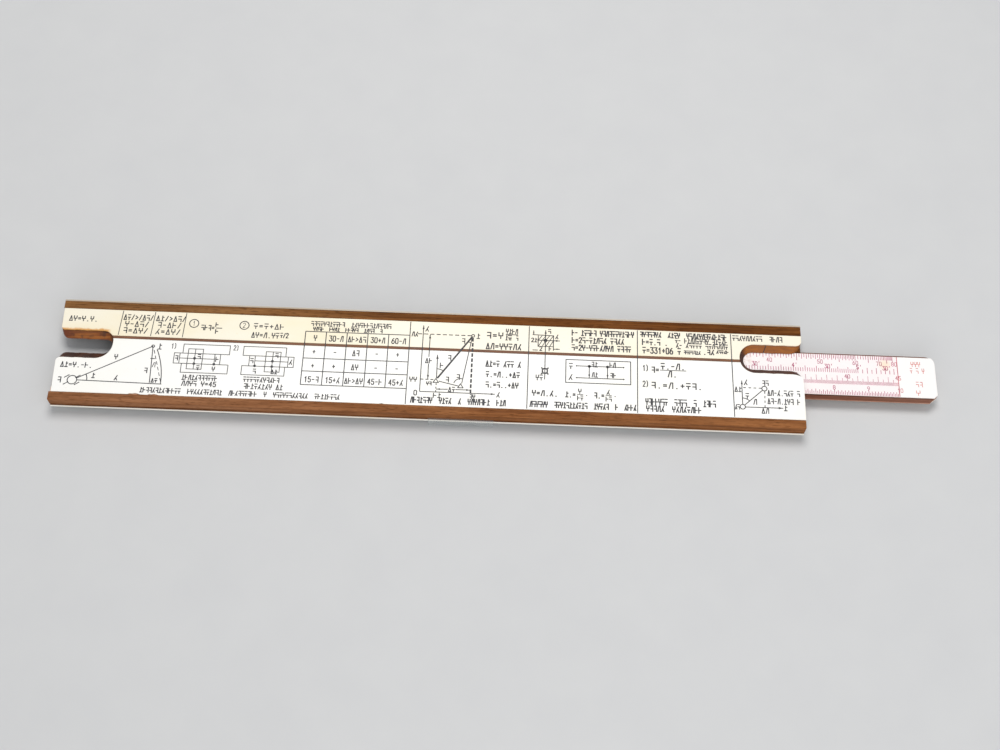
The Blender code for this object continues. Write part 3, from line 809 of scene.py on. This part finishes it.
class Print:
    """Printed marks of one ink on one face, kept as thin closed solids.

    Neighbouring marks lie a hair apart in height, so that crossing ones share no face.
    """

    def __init__(self, face_z, mirrored=False):
        self.top_z = face_z
        self.bottom_z = face_z - INK_DEPTH
        self.flip = -1 if mirrored else 1
        self.choice = random.Random(MARK_SEED)
        self.points = []
        self.faces = []

    def fill(self, outline):
        outline = [(x, self.flip * y) for x, y in outline]
        sunk = INK_LAYER * (len(self.faces) % INK_LAYERS)
        points, faces = prism(outline, self.top_z - sunk, self.bottom_z - sunk)
        first = len(self.points)
        self.points += points
        self.faces += [[first + index for index in face] for face in faces]

    def line(self, start, end, width=THIN_LINE, overrun=0.0):
        run = Vector(end) - Vector(start)
        along = run.normalized() * overrun
        across = Vector((-run.y, run.x)).normalized() * width / 2
        a = Vector(start) - along
        b = Vector(end) + along
        self.fill([a + across, a - across, b - across, b + across])

    def lines(self, *ends, width=THIN_LINE):
        for start, end in ends:
            self.line(start, end, width)

    def path(self, points, width=THIN_LINE, closed=False):
        ends = points[1:] + points[:1] if closed else points[1:]
        for start, end in zip(points, ends):
            self.line(start, end, width, width * OVERRUN_SHARE)

    def rectangle(self, low, high, width=THIN_LINE):
        self.path([low, (high[0], low[1]), high, (low[0], high[1])], width, True)

    def dashes(self, start, end, dash, gap, width=THIN_LINE):
        run = Vector(end) - Vector(start)
        count = max(1, round((run.length + gap) / (dash + gap)))
        pitch = (run.length + gap) / count
        for number in range(count):
            first = Vector(start) + run.normalized() * pitch * number
            last = first + run.normalized() * (pitch - gap)
            self.line(first, last, width)

    def circle(self, centre, radius, steps=20):
        self.path(arc(centre, (radius, radius), 0, 360, steps)[:-1], THIN_LINE, True)

    def arc(self, centre, radius, start, end, steps=10):
        self.path(arc(centre, (radius, radius), start, end, steps))

    def dots(self, radius, *centres):
        for centre in centres:
            self.fill(arc(centre, (radius, radius), 0, 360, DOT_STEPS)[:-1])

    def arrow(self, start, end, head=1.5):
        self.line(start, end)
        along = (Vector(end) - Vector(start)).normalized()
        across = Vector((-along.y, along.x)) * head * HEAD_SHARE
        back = Vector(end) - along * head
        self.fill([end, back + across, back - across])

    def text(self, signs, x, y, height, span=None, width=LETTER_LINE):
        """Signs, numbers and made-up marks, from x on, with y at their middle."""
        pitch = span / len(signs) if span else height * SIGN_PITCH
        size = pitch * SIGN_SHARE / GRID_WIDTH
        for place, sign in enumerate(signs):
            strokes = self.choice.choice(MARKS) if sign == "#" else STROKES[sign]
            left = x + pitch * place + pitch * SIGN_INDENT
            for stroke in strokes:
                points = [(left + u * size, y + (v / GRID_HEIGHT - 0.5) * height) for u, v in stroke]
                self.path(points, width)

    def texts(self, *rows, width=LETTER_LINE):
        """Several texts; each row has its signs, X, Y, height and length."""
        for row in rows:
            self.text(*row, width=width)

    def marks(self, height, *places):
        """Single made-up marks."""
        for x, y in places:
            self.text("#", x, y, height)

    def number(self, value, x, y, height):
        """A number with its middle at x, y."""
        digits = str(value)
        span = height * DIGIT_PITCH * len(digits)
        self.text(digits, x - span / 2, y, height, span, NUMBER_LINE)

    def piece(self, name, material, body):
        return new_piece(name, (self.points, self.faces), material, body)


def words(*lengths):
    """Made-up marks for words of these lengths."""
    return "  ".join("#" * length for length in lengths)


TABLE_LEFT = -47.2
TABLE_PITCH = 7.8
TABLE_ROWS = (11.4, 0.1, -5.3, -10.95)
DIVIDERS = ((-8.1, -8.1), (36.6, 36.5), (77.3, 77.2), (112.4, 112.8))
SHORT_DIVIDERS = ((-116.4, -117.0), (-104.3, -104.9), (-92.6, -93.0))
CREAM_LOW = 6.8
CREAM_HIGH = 17.2
WHITE_LOW = -17.3


def print_rule_picture(page, stock_x, slide_x, cursor_x):
    """A small picture of a slide rule with its slide and its cursor; each part has its two ends' X."""
    first_x = slide_x[0] + 2.1
    last_x = slide_x[1] - 2.1
    hairline_x = cursor_x[0] + 2.6
    page.rectangle((stock_x[0], 0.2), (stock_x[1], 4.0), FINE_LINE)
    page.rectangle((stock_x[0], -7.8), (stock_x[1], -4.1), FINE_LINE)
    page.rectangle((slide_x[0], -4.1), (slide_x[1], 0.2), FINE_LINE)
    page.lines(
        ((first_x, -4.1), (first_x, 0.2)), ((last_x, -4.1), (last_x, 0.2)), ((first_x, -1.9), (last_x, -1.9)),
        width=FINE_LINE,
    )
    page.rectangle((cursor_x[0], -6.3), (cursor_x[1], 2.1), FINE_LINE)
    page.line((hairline_x, 2.1), (hairline_x, -6.3), FINE_LINE)
    page.dots(0.55, (hairline_x, -1.8), (hairline_x, -4.05))
    page.marks(1.8, (slide_x[0] + 0.3, -1.9), (slide_x[1] - 1.8, -1.9))


def print_triangle_cell(page):
    """Cell 1: the big triangle and two pictures of the rule."""
    page.text("^#=#.#.", -136.3, 13.2, 2.0, 11.0)
    for left, first in ((-116.0, "^#/>/^#/"), (-103.8, "^#/>^#/")):
        page.texts(
            (first, left, 14.5, 2.1, 11.4), ("#-^#/", left + 0.8, 11.7, 2.1, 9.3),
            ("#=^#/", left + 0.4, 8.9, 2.1, 9.7),
        )
    for number, x in ((1, -89.3), (2, -70.4)):
        page.circle((x, 12.9), 1.72)
        page.number(number, x, 12.9, 1.9)
    page.text("###=", -86.5, 11.3, 2.0, 5.2)
    page.line((-80.9, 11.3), (-78.6, 11.3))
    page.marks(1.7, (-81.3, 12.7), (-81.1, 9.9))
    page.texts(
        ("#=#+^#", -67.0, 12.8, 2.1, 11.8), ("^#=#.##", -67.4, 9.0, 2.1, 10.6), ("#/2", -56.6, 9.2, 1.9, 3.2),
        ("^#=#.-#.", -136.4, -6.3, 2.0, 12.0),
    )

    gun = (-131.1, -12.6)
    page.circle(gun, 1.75)
    for angle in (35, 145, 215, 325):
        place = math.radians(angle)
        middle = Vector(gun) + Vector((math.cos(place), math.sin(place))) * 2.5
        page.line(middle - Vector((1.0, 0.6)), middle + Vector((0.8, 0.6)))
    page.marks(2.1, (-136.6, -12.7))
    apex = (-103.3, 2.6)
    page.lines(((-129.5, -11.8), apex), ((-129.3, -12.6), (-98.1, -13.0)))
    page.circle(apex, 0.5, 10)
    page.line((-103.3, 2.1), (-102.6, -12.6))
    page.dashes((-102.7, 1.0), (-98.6, -12.0), 1.5, 0.9, FINE_LINE)
    page.arc(gun, 32.6, 25, -0.7, 14)
    page.arc(gun, 5.4, 0, 28)
    page.line((-103.6, -2.6), (-101.9, -2.6))
    page.marks(1.9, (-117.1, -2.4), (-124.3, -10.5), (-115.9, -11.1), (-105.4, -7.6))
    page.marks(2.2, (-101.6, 2.6))
    page.text("#", -102.7, -5.2, 1.8, 1.5, FINE_LINE)
    page.text("^#", -102.2, -11.6, 1.5, 2.5)
    page.text(words(13, 11, 9, 1, 11, 8), -105.8, -15.6, 1.9, 73.6)

    page.text("1)", -96.6, 3.0, 1.9, 2.2, FINE_LINE)
    print_rule_picture(page, (-91.9, -74.6), (-95.0, -77.8), (-89.9, -84.4))
    page.dots(0.55, (-79.9, -4.0))
    page.marks(1.7, (-86.3, -1.0), (-86.3, -5.7), (-80.5, -6.0))
    page.texts(("#" * 11, -91.1, -9.8, 1.9, 13.3), ("#### #=45", -90.9, -12.3, 1.9, 13.0))

    page.text("2)", -73.4, 3.2, 1.9, 2.2, FINE_LINE)
    print_rule_picture(page, (-69.5, -53.6), (-67.0, -50.5), (-61.0, -55.5))
    page.dots(0.55, (-64.8, -4.0))
    page.marks(1.7, (-57.6, 0.6), (-65.3, -6.2))
    page.texts(
        ("^#", -58.6, -6.2, 1.6, 2.6), ("#" * 11, -68.4, -9.7, 1.9, 13.5),
        ("######## ^#", -68.0, -12.5, 2.0, 14.6),
    )


def print_table(page):
    """A table of five columns and four rows; the inlay strip parts its first two rows."""
    page.texts((words(11, 13), -45.5, 14.8, 1.8, 30.3), (words(4, 4, 5, 4, 1), -44.5, 12.6, 1.4, 26.1))
    for column in range(5):
        x = TABLE_LEFT + TABLE_PITCH * column
        page.line((x, TABLE_ROWS[-1]), (x, TABLE_ROWS[0]))
    for y in TABLE_ROWS:
        page.line((TABLE_LEFT, y), (DIVIDERS[0][0], y))
    entries = (
        (8.7, ("#", "30-#", "^#>^#", "30+#", "60-#")),
        (2.9, ("+", "-", "^#", "-", "+")),
        (-3.0, ("+", "+", "^#", "-", "-")),
        (-8.7, ("15-#", "15+#", "^#>^#", "45-#", "45+#")),
    )
    for y, row in entries:
        for column, entry in enumerate(row):
            centre = TABLE_LEFT + TABLE_PITCH * (column + 0.5)
            span = 1.4 * len(entry)
            page.text(entry, centre - span / 2, y, 2.2, span)


def print_bearing_cell(page):
    """Cell 2: axes with a target seen from two points."""
    origin = (-3.15, -11.9)
    target = (15.6, 12.2)
    page.arrow(origin, (origin[0], 15.8))
    page.arrow(origin, (24.6, origin[1]))
    page.dashes((-5.1, 12.2), (15.0, 12.2), 1.5, 0.8, LETTER_LINE)
    page.dashes((-3.1, -6.8), (1.7, -6.8), 1.3, 0.7, LETTER_LINE)
    page.line((3.1, -6.2), (15.3, 11.8), BOLD_LINE)
    page.circle(target, 0.55, 12)
    page.line((15.3, 11.6), (12.2, -8.0))
    page.dashes((15.6, 11.3), (15.6, origin[1]), 1.6, 0.6, BOLD_LINE)
    page.dashes((2.8, -8.3), (2.8, origin[1]), 0.9, 0.6)
    page.arrow((-0.5, 2.6), (-0.5, 12.0), 1.6)
    page.arrow((-0.5, -0.3), (-0.4, -6.6), 1.6)
    page.arrow((2.8, -6.2), (2.7, 3.6), 1.7)
    page.arrow((7.2, -10.6), (2.9, -10.7), 1.4)
    page.arrow((10.0, -10.6), (15.4, -10.6), 1.4)
    page.line((3.7, -7.4), (11.0, -9.1))
    page.arc((2.7, -6.8), 4.5, 58, 90)
    page.arc(target, 3.1, 234, 258)
    page.arc((11.8, -8.6), 2.6, 82, 162)
    for x, y in ((2.6, -7.3), (11.8, -9.1)):
        page.path([(x - 1.0, y - 0.7), (x + 1.0, y - 0.7), (x, y + 1.0)], THIN_LINE, True)
    page.marks(2.0, (-2.5, 14.4), (3.7, -0.8), (6.4, 2.5), (6.0, -6.6), (10.0, -5.4), (11.3, 9.8))
    page.marks(2.0, (16.8, 12.1))
    page.text("0", -5.4, -12.5, 1.9)
    page.marks(1.9, (25.1, -12.1))
    page.texts(
        ("##", -7.5, 12.0, 1.8, 2.6), ("##", -7.3, -7.0, 1.8, 3.1), ("##", -0.9, -8.5, 1.3, 2.1),
        ("##", 1.8, -13.3, 1.7, 3.2), ("##", 15.3, -13.3, 1.7, 2.2), ("^#", -1.8, 1.0, 1.9, 2.8),
        ("^#", 7.3, -10.6, 1.8, 2.7),
    )
    page.text("#=#", 20.4, 12.7, 2.4, 6.8, HEAVY_LETTER_LINE)
    page.text("####", 27.8, 14.7, 1.9, 4.7)
    page.line((27.8, 13.3), (32.4, 13.3))
    page.text("###  #", 27.8, 11.9, 1.9, 4.8)
    page.texts(
        ("^#=#####", 20.5, 8.1, 2.3, 13.5), ("^#=# ### #", 20.7, 0.7, 2.3, 13.3),
        ("#.=#..+^#", 20.9, -3.7, 2.1, 12.8), ("#.=#..+^#", 21.0, -8.0, 2.1, 12.3),
        (words(7, 4, 1, 7, 3), -6.4, -15.4, 2.2, 35.2),
        width=HEAVY_LETTER_LINE,
    )


def print_target_cell(page):
    """Cell 3: a hatched field, a boxed diagram and its formulas."""
    page.path([(38.0, 13.7), (45.8, 13.5), (45.8, 7.3)])
    page.line((40.05, 13.4), (40.05, 8.6))
    page.line((40.05, 8.8), (45.8, 8.9), FINE_LINE)
    page.arrow((39.7, 11.4), (48.2, 11.4))
    page.arrow((42.8, -5.0), (42.8, 15.8))
    page.arrow((38.3, 13.7), (38.3, 15.5), 1.2)
    page.arrow((45.8, 7.8), (48.2, 7.9), 1.2)
    page.line((38.0, 7.2), (40.0, 7.2))
    for x in (40.2, 41.6, 43.0, 44.4):
        page.lines(((x, 8.9), (x + 1.3, 11.3)), ((x, 11.5), (x + 1.3, 13.4)), width=FINE_LINE)
    page.dots(0.75, (42.8, 11.4))
    page.texts(("2#", 37.4, 11.4, 1.6, 2.4), ("2  #", 40.6, 7.9, 1.7, 4.6))
    page.marks(1.7, (43.6, 15.3), (46.4, 13.1))
    page.rectangle((41.8, -2.5), (43.8, -0.4))
    page.circle((42.8, -1.45), 0.9, 12)
    page.dots(0.3, (41.6, -2.7), (41.6, -0.2), (44.0, -2.7), (44.0, -0.2))
    page.text("##", 39.4, -4.3, 2.1, 2.9)
    page.texts(
        ("#- ##### ###########", 52.6, 15.2, 2.2, 23.5), ("#=2#-##### ####", 52.6, 12.05, 2.2, 19.8),
        ("#=2#-####### ####", 52.6, 8.9, 2.2, 22.4),
        width=HEAVY_LETTER_LINE,
    )
    page.rectangle((50.6, -5.85), (74.7, 3.7))
    for y, label_y in ((1.2, 1.0), (-3.75, -3.6)):
        page.line((54.6, y), (72.1, y))
        page.marks(2.2, (51.6, label_y))
        page.dots(0.3, (54.6, y), (72.1, y))
    for x in (59.3, 66.1):
        page.dots(0.6, (x, 1.2))
        page.arrow((x, 1.0), (x, -3.6), 1.4)
        page.texts(("##", x + 0.7, 2.0, 2.0, 2.5), ("##", x + 0.9, -2.3, 1.8, 2.4))
    page.text("#=#.#.", 38.2, -10.7, 2.1, 9.8, HEAVY_LETTER_LINE)
    for left, bar_x in ((50.5, 54.9), (61.1, 65.4)):
        page.text("#.=", left, -10.8, 2.1, 4.0, HEAVY_LETTER_LINE)
        page.line((bar_x, -10.65), (bar_x + 2.3, -10.65), FINE_LINE)
        page.marks(1.8, (bar_x + 0.3, -9.3))
        page.texts(("##", bar_x, -12.1, 1.7, 2.4), (".", bar_x + 2.9, -10.2, 1.6))
    page.text(words(6, 11, 5, 1, 4), 37.5, -15.3, 2.2, 39.3, HEAVY_LETTER_LINE)


def print_timing_cell(page):
    """Cell 4: text and two formulas."""
    heavy = HEAVY_LETTER_LINE
    page.texts((words(7, 4, 13), 78.2, 15.6, 2.0, 32.8), ("#=#.# .", 79.0, 12.4, 2.3, 9.8), width=heavy)
    page.texts(("#- ######## #####", 91.4, 13.5, 1.9, 19.8), ("#- ##### #######", 91.7, 11.5, 1.8, 19.7))
    page.text("#=331+06 #", 79.1, 8.9, 2.4, 14.6, heavy)
    page.text("#######", 94.6, 8.6, 1.3, 6.4)
    page.text(".##", 101.8, 9.0, 1.9, 4.4, heavy)
    page.texts(("#####", 106.8, 9.3, 1.2, 4.7), ("1)", 79.1, 1.4, 2.2, 2.4))
    page.texts(("#=", 82.3, 0.8, 2.2, 3.2), ("#.-#.", 85.8, 2.4, 2.3, 9.4), width=heavy)
    page.line((85.6, 0.75), (95.4, 0.75), FINE_LINE)
    page.text("#.", 88.4, -0.8, 2.3, 3.8, heavy)
    page.text("2)", 79.1, -5.2, 2.2, 2.4)
    page.texts(
        ("#.=#.+##.", 82.1, -5.6, 2.3, 19.4), (words(7, 4, 1, 4), 80.1, -12.5, 2.4, 26.0),
        (words(5, 8), 80.3, -15.3, 2.2, 20.5),
        width=heavy,
    )


def print_course_cell(page):
    """Cell 5: axes with two marked points."""
    start = (115.9, -13.1)
    end = (124.2, -5.3)
    page.text(words(9, 4), 113.0, 15.5, 2.0, 19.0)
    page.arrow((115.9, -12.1), (115.9, -2.3))
    page.arrow((116.9, -13.15), (130.8, -13.1), 1.7)
    page.circle(start, 0.95)
    page.circle(end, 0.95)
    page.line((116.6, -12.4), (123.5, -6.0))
    page.dashes((116.4, -5.2), (123.1, -5.2), 1.2, 0.9)
    page.dashes((124.3, -6.4), (124.1, -13.1), 1.2, 0.9)
    page.arc(start, 3.6, 45, 86, 6)
    page.marks(2.0, (116.6, -3.0), (117.0, -8.6), (119.8, -10.9), (130.9, -13.1))
    page.texts(
        ("^#", 113.1, -6.0, 1.9, 2.7), ("##", 123.4, -3.0, 1.9, 2.6), ("##", 113.0, -13.2, 1.9, 1.9),
        ("^#", 122.7, -14.5, 1.9, 3.0), ("^#-#.### #", 125.2, -7.0, 2.1, 12.2),
        ("^#-#.### #", 125.1, -10.4, 2.1, 12.2),
    )


def print_back(looks):
    page = Print(INK_TOP_Z)
    for high_x, low_x in SHORT_DIVIDERS:
        page.line((low_x, CREAM_LOW), (high_x, CREAM_HIGH), FINE_LINE)
    for high_x, low_x in DIVIDERS:
        page.line((low_x, WHITE_LOW), (high_x, CREAM_HIGH))
    print_triangle_cell(page)
    print_table(page)
    print_bearing_cell(page)
    print_target_cell(page)
    print_timing_cell(page)
    print_course_cell(page)
    page.piece("print_back", looks["black_ink"], "stock")


# ---- scales

# Steps of one decade: start, stop, step, step of middle ticks, step of long ticks
DECADE = ((1, 2, 0.05, 0.5, 1), (2, 5, 0.1, 0.5, 1), (5, 10, 0.2, 1, 1))
FINE_DECADE = ((1, 2, 0.01, 0.05, 0.1), (2, 4, 0.02, 0.1, 0.5), (4, 10, 0.05, 0.5, 1))


def log_place(start, power=1.0):
    """Place of a value on a logarithmic scale."""
    return lambda value: start + SCALE_LENGTH * power * math.log10(value)


def angle_place(start, ratio, factor):
    """Place of an angle on the scale of its sine or tangent, times a factor."""
    return lambda angle: start + SCALE_LENGTH * math.log10(factor * ratio(math.radians(angle)))


def is_whole(value):
    return abs(value - round(value)) < 0.000001


def graduate(page, place, spans, base_y, lengths, width=TICK_LINE):
    """Ticks of a scale; spans are (start, stop, step, step of middle ticks, step of long ticks)."""
    long, middle, short = lengths
    for start, stop, step, middle_step, long_step in spans:
        first = 0 if start == spans[0][0] else 1
        for number in range(first, round((stop - start) / step) + 1):
            value = start + step * number
            length = middle if is_whole(value / middle_step) else short
            if is_whole(value / long_step):
                length = long
            x = place(value)
            page.line((x, base_y), (x, base_y + length), width)


def label_scale(page, place, values, y, height=1.6, unit=1):
    for value in values:
        page.number(value, place(unit * value), y, height)


def print_decades(page, place, count, tick_y, tick_lengths, number_y, height=1.6):
    """Decades of a logarithmic scale, each with its numbers from 1 to 9."""
    for power in range(count):
        unit = 10 ** power
        graduate(page, place, [[unit * part for part in span] for span in DECADE], tick_y, tick_lengths)
        label_scale(page, place, range(1, 10), number_y, height, unit)


def print_slide_back(looks):
    """Sine, small angle, tangent and number scales, from the slide's north edge to its south edge."""
    low, high = box_mm("slide_back_veneer")
    north_y = high.y - PRINT_INSET
    south_y = low.y + PRINT_INSET
    page = Print(high.z + PRINT_PROUD)
    start = SCALES_OUT + SCALE_START
    width = SLIDE_TICK_LINE

    sine = angle_place(start, math.sin, 10)
    sine_spans = ((6, 10, 1 / 12, 0.5, 1), (10, 20, 1 / 6, 0.5, 1), (20, 60, 0.5, 1, 5), (60, 80, 1, 5, 5))
    graduate(page, sine, sine_spans, north_y, (-2.1, -2.1, -1.5), width)
    for angle in range(15, 76, 10):
        page.line((sine(angle), north_y - 2.0), (sine(angle), north_y - 2.9), width)
    label_scale(page, sine, (6, 7, 8, 9, 10, 15, 20, 25, 30, 35, 40, 50, 60, 70), north_y - 3.1)
    page.number(80, sine(80) + 0.6, north_y - 3.1, 1.6)

    small_sine = angle_place(start, math.sin, 100)
    small_spans = ((2 / 3, 5, 1 / 30, 1 / 6, 1 / 6), (5, 17 / 3, 1 / 12, 1 / 6, 1 / 6))
    graduate(page, small_sine, small_spans, north_y - 7.4, (2.4, 1.6, 1.6), width)
    for angle in range(1, 6):
        page.text(str(angle) + "'", small_sine(angle) - 0.6, north_y - 4.9, 1.6, 2.4, SMALL_LETTER_LINE)
    for angle in range(1, 6):
        page.text("30'", small_sine(angle + 0.5) - 1.1, north_y - 4.9, 1.6, 3.4, SMALL_LETTER_LINE)

    tangent = angle_place(start, math.tan, 10)
    graduate(page, tangent, ((6, 44.9, 0.1, 0.5, 1),), north_y - 12.2, (3.6, 2.5, 1.4))
    label_scale(page, tangent, (6, 7, 8, 9, 10, 15, 20, 25, 30, 35, 40, 45), north_y - 8.9)

    number = log_place(start)
    number_spans = ((1, 2, 0.02, 0.1, 0.5), (2, 9.95, 0.05, 0.1, 0.5))
    graduate(page, number, number_spans, south_y, (2.1, 1.8, 1.2), width)
    label_scale(page, number, range(1, 10), south_y + 2.9)
    page.number(10, number(10) + 0.4, south_y + 2.6, 1.6)

    for x in (start, start + SCALE_LENGTH):
        page.line((x, south_y), (x, north_y), FINE_LINE)
    page.texts(
        ("###", 180.2, 8.6, 2.0, 3.8), ("# # #", 179.7, 5.9, 2.0, 5.6), ("##", 181.4, 0.2, 2.0, 2.8),
        ("#", 181.2, -3.4, 2.0, 2.0),
        width=width,
    )
    page.piece("print_slide_back", looks["red_ink"], "slide")


def print_front(looks):
    """Scales on the front, readable from below: squares and cubes, then numbers and a plain scale."""
    number = log_place(SCALE_START)

    def centimetres(value):
        return SCALE_START + 10 * value

    def tenths(value):
        return SCALE_START + SCALE_LENGTH * value / 10

    south_low, south_high = box_mm("front_veneer_lower")
    page = Print(south_low.z + INK_DEPTH - PRINT_PROUD, True)
    top = -south_low.y
    bottom = -south_high.y
    print_decades(page, log_place(SCALE_START, 0.5), 2, bottom + 0.2, (2.2, 1.7, 1.1), bottom + 3.4)
    print_decades(page, log_place(SCALE_START, 1 / 3), 3, bottom + 6.2, (2.0, 1.5, 1.0), bottom + 9.3, 1.4)
    graduate(page, centimetres, ((0, 25, 0.1, 0.5, 1),), top - 0.2, (-2.2, -1.7, -1.2))
    label_scale(page, centimetres, range(26), top - 3.4, 1.4)

    north_low, north_high = box_mm("front_veneer_upper")
    top = -north_low.y
    bottom = -north_high.y
    graduate(page, number, FINE_DECADE, top - 0.2, (-2.2, -1.7, -1.1))
    label_scale(page, number, range(1, 11), top - 3.4)
    graduate(page, tenths, ((0, 10, 0.05, 0.5, 1),), bottom + 0.3, (1.9, 1.4, 1.0))
    label_scale(page, tenths, range(11), bottom + 3.2, 1.4)
    page.piece("print_front", looks["black_ink"], "stock")


def print_slide_front(looks):
    """Squares, reciprocals in red, and numbers on the slide's front."""
    start = SCALES_OUT + SCALE_START
    low, high = box_mm("slide_front_veneer")
    top = -low.y
    bottom = -high.y
    number = log_place(start)
    page = Print(low.z + INK_DEPTH - PRINT_PROUD, True)
    print_decades(page, log_place(start, 0.5), 2, top - 0.15, (-2.2, -1.7, -1.1), top - 3.4)
    graduate(page, number, FINE_DECADE, bottom + 0.15, (2.2, 1.7, 1.1))
    label_scale(page, number, range(1, 11), bottom + 3.4)
    page.piece("print_slide_front", looks["black_ink"], "slide")

    middle = (top + bottom) / 2
    reciprocal = log_place(start + SCALE_LENGTH, -1.0)
    red_page = Print(low.z + INK_DEPTH - PRINT_PROUD, True)
    spans = ((1, 2, 0.02, 0.1, 0.5), (2, 5, 0.05, 0.5, 1), (5, 10, 0.1, 0.5, 1))
    graduate(red_page, reciprocal, spans, middle - 1.0, (1.7, 1.3, 0.9))
    label_scale(red_page, reciprocal, range(1, 11), middle + 1.8, 1.4)
    red_page.piece("print_slide_reciprocals", looks["red_ink"], "slide")


def wall_y(notch, level, x):
    """Y of a notch's upper wall at a place along it."""
    points = notch_outline(notch, level)
    for (x0, y0), (x1, y1) in zip(points, points[1:]):
        if min(x0, x1) <= x <= max(x0, x1) and x0 != x1:
            return y0 + (y1 - y0) * (x - x0) / (x1 - x0)


def print_index_line(looks):
    """The index line down the right notch's upper bevel, where the slide's scales are read."""
    top_x, foot_x = INDEX_LINE
    notch = NOTCHES["right"]
    top_z = VENEER_TOP_Z - VENEER_THICKNESS - GLUE_LINE
    ends = (
        (top_x, wall_y(notch, "top", top_x), top_z),
        (foot_x, wall_y(notch, "foot", foot_x), PLATE_BOTTOM_Z + INDEX_PROUD),
    )
    points = []
    for proud in (INDEX_PROUD, -INDEX_PROUD):
        for x, y, z in ends:
            points.append((x - INDEX_WIDTH / 2, y - proud, z + proud))
            points.append((x + INDEX_WIDTH / 2, y - proud, z + proud))
    faces = [(0, 1, 3, 2), (4, 5, 7, 6), (0, 1, 5, 4), (2, 3, 7, 6), (0, 2, 6, 4), (1, 3, 7, 5)]
    new_piece("print_index_line", (points, faces), looks["black_ink"], "stock")


def print_hairline(looks):
    """The cursor's line, under its window."""
    low, high = box_mm("cursor_window")
    centre_x = (low.x + high.x) / 2
    cursor_line = Print(high.z + PRINT_PROUD)
    cursor_line.line((centre_x, low.y + HAIRLINE_INSET), (centre_x, high.y - HAIRLINE_INSET), HAIRLINE)
    cursor_line.piece("cursor_hairline", looks["red_ink"], "cursor")


# ---- studio

def make_floor():
    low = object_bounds()[0]
    half = 1.6
    height = low[2]
    mesh = bpy.data.meshes.new("floor")
    corners = [(-half, -half, height), (half, -half, height), (half, half, height), (-half, half, height)]
    mesh.from_pydata(corners, [], [(0, 1, 2, 3)])
    floor = bpy.data.objects.new("floor", mesh)
    bpy.context.scene.collection.objects.link(floor)
    look = Shading("floor_paint")
    grain = look.noise(look.place, 60.0, 3.0)
    look.shade(Base_Color=look.mix(grain, colour(206, 207, 209), colour(212, 213, 214)))
    look.shade(Roughness=0.8)
    mesh.materials.append(look.material)


def aim(item, place, target, lean=0.0):
    """Points an object's -Z at the target, leaning to its left by an angle."""
    place = Vector(place) * MM
    back = (place - Vector(target) * MM).normalized()
    right = Vector((0, 0, 1)).cross(back).normalized()
    up = back.cross(right)
    turned_up = up * math.cos(lean) - right * math.sin(lean)
    turned_right = turned_up.cross(back)
    turn = Matrix((turned_right, turned_up, back)).transposed().to_4x4()
    item.matrix_world = Matrix.Translation(place) @ turn


def make_light(name, place, size, power, tint):
    lamp = bpy.data.lights.new(name, "AREA")
    lamp.shape = "DISK"
    lamp.size = size * MM
    lamp.energy = power
    lamp.color = tint
    item = bpy.data.objects.new(name, lamp)
    bpy.context.scene.collection.objects.link(item)
    aim(item, place, (20.0, 0.0, 0.0))


def make_studio():
    scene = bpy.context.scene
    world = bpy.data.worlds.new("studio")
    world.use_nodes = True
    background = world.node_tree.nodes["Background"]
    background.inputs["Color"].default_value = (0.96, 0.98, 1.0, 1.0)
    background.inputs["Strength"].default_value = 0.36
    scene.world = world
    make_light("key", (20.0, 330.0, 900.0), 520.0, 5.4, (1.0, 0.98, 0.95))
    make_light("fill", (420.0, -420.0, 620.0), 700.0, 1.2, (0.97, 0.98, 1.0))
    make_light("front", (0.0, -900.0, 160.0), 900.0, 4.0, (1.0, 0.98, 0.95))
    scene.view_settings.view_transform = "Standard"
    scene.view_settings.look = "None"
    lens = bpy.data.cameras.new("camera")
    lens.lens = CAMERA_LENS
    lens.sensor_width = SENSOR_WIDTH
    lens.clip_start = 0.01
    camera = bpy.data.objects.new("camera", lens)
    scene.collection.objects.link(camera)
    aim(camera, CAMERA_PLACE, CAMERA_TARGET, CAMERA_LEAN)
    scene.camera = camera


looks = make_materials()
make_stock(looks)
make_slide(looks)
make_cursor(looks)
print_back(looks)
print_slide_back(looks)
print_front(looks)
print_slide_front(looks)
print_index_line(looks)
print_hairline(looks)
make_floor()
make_studio()
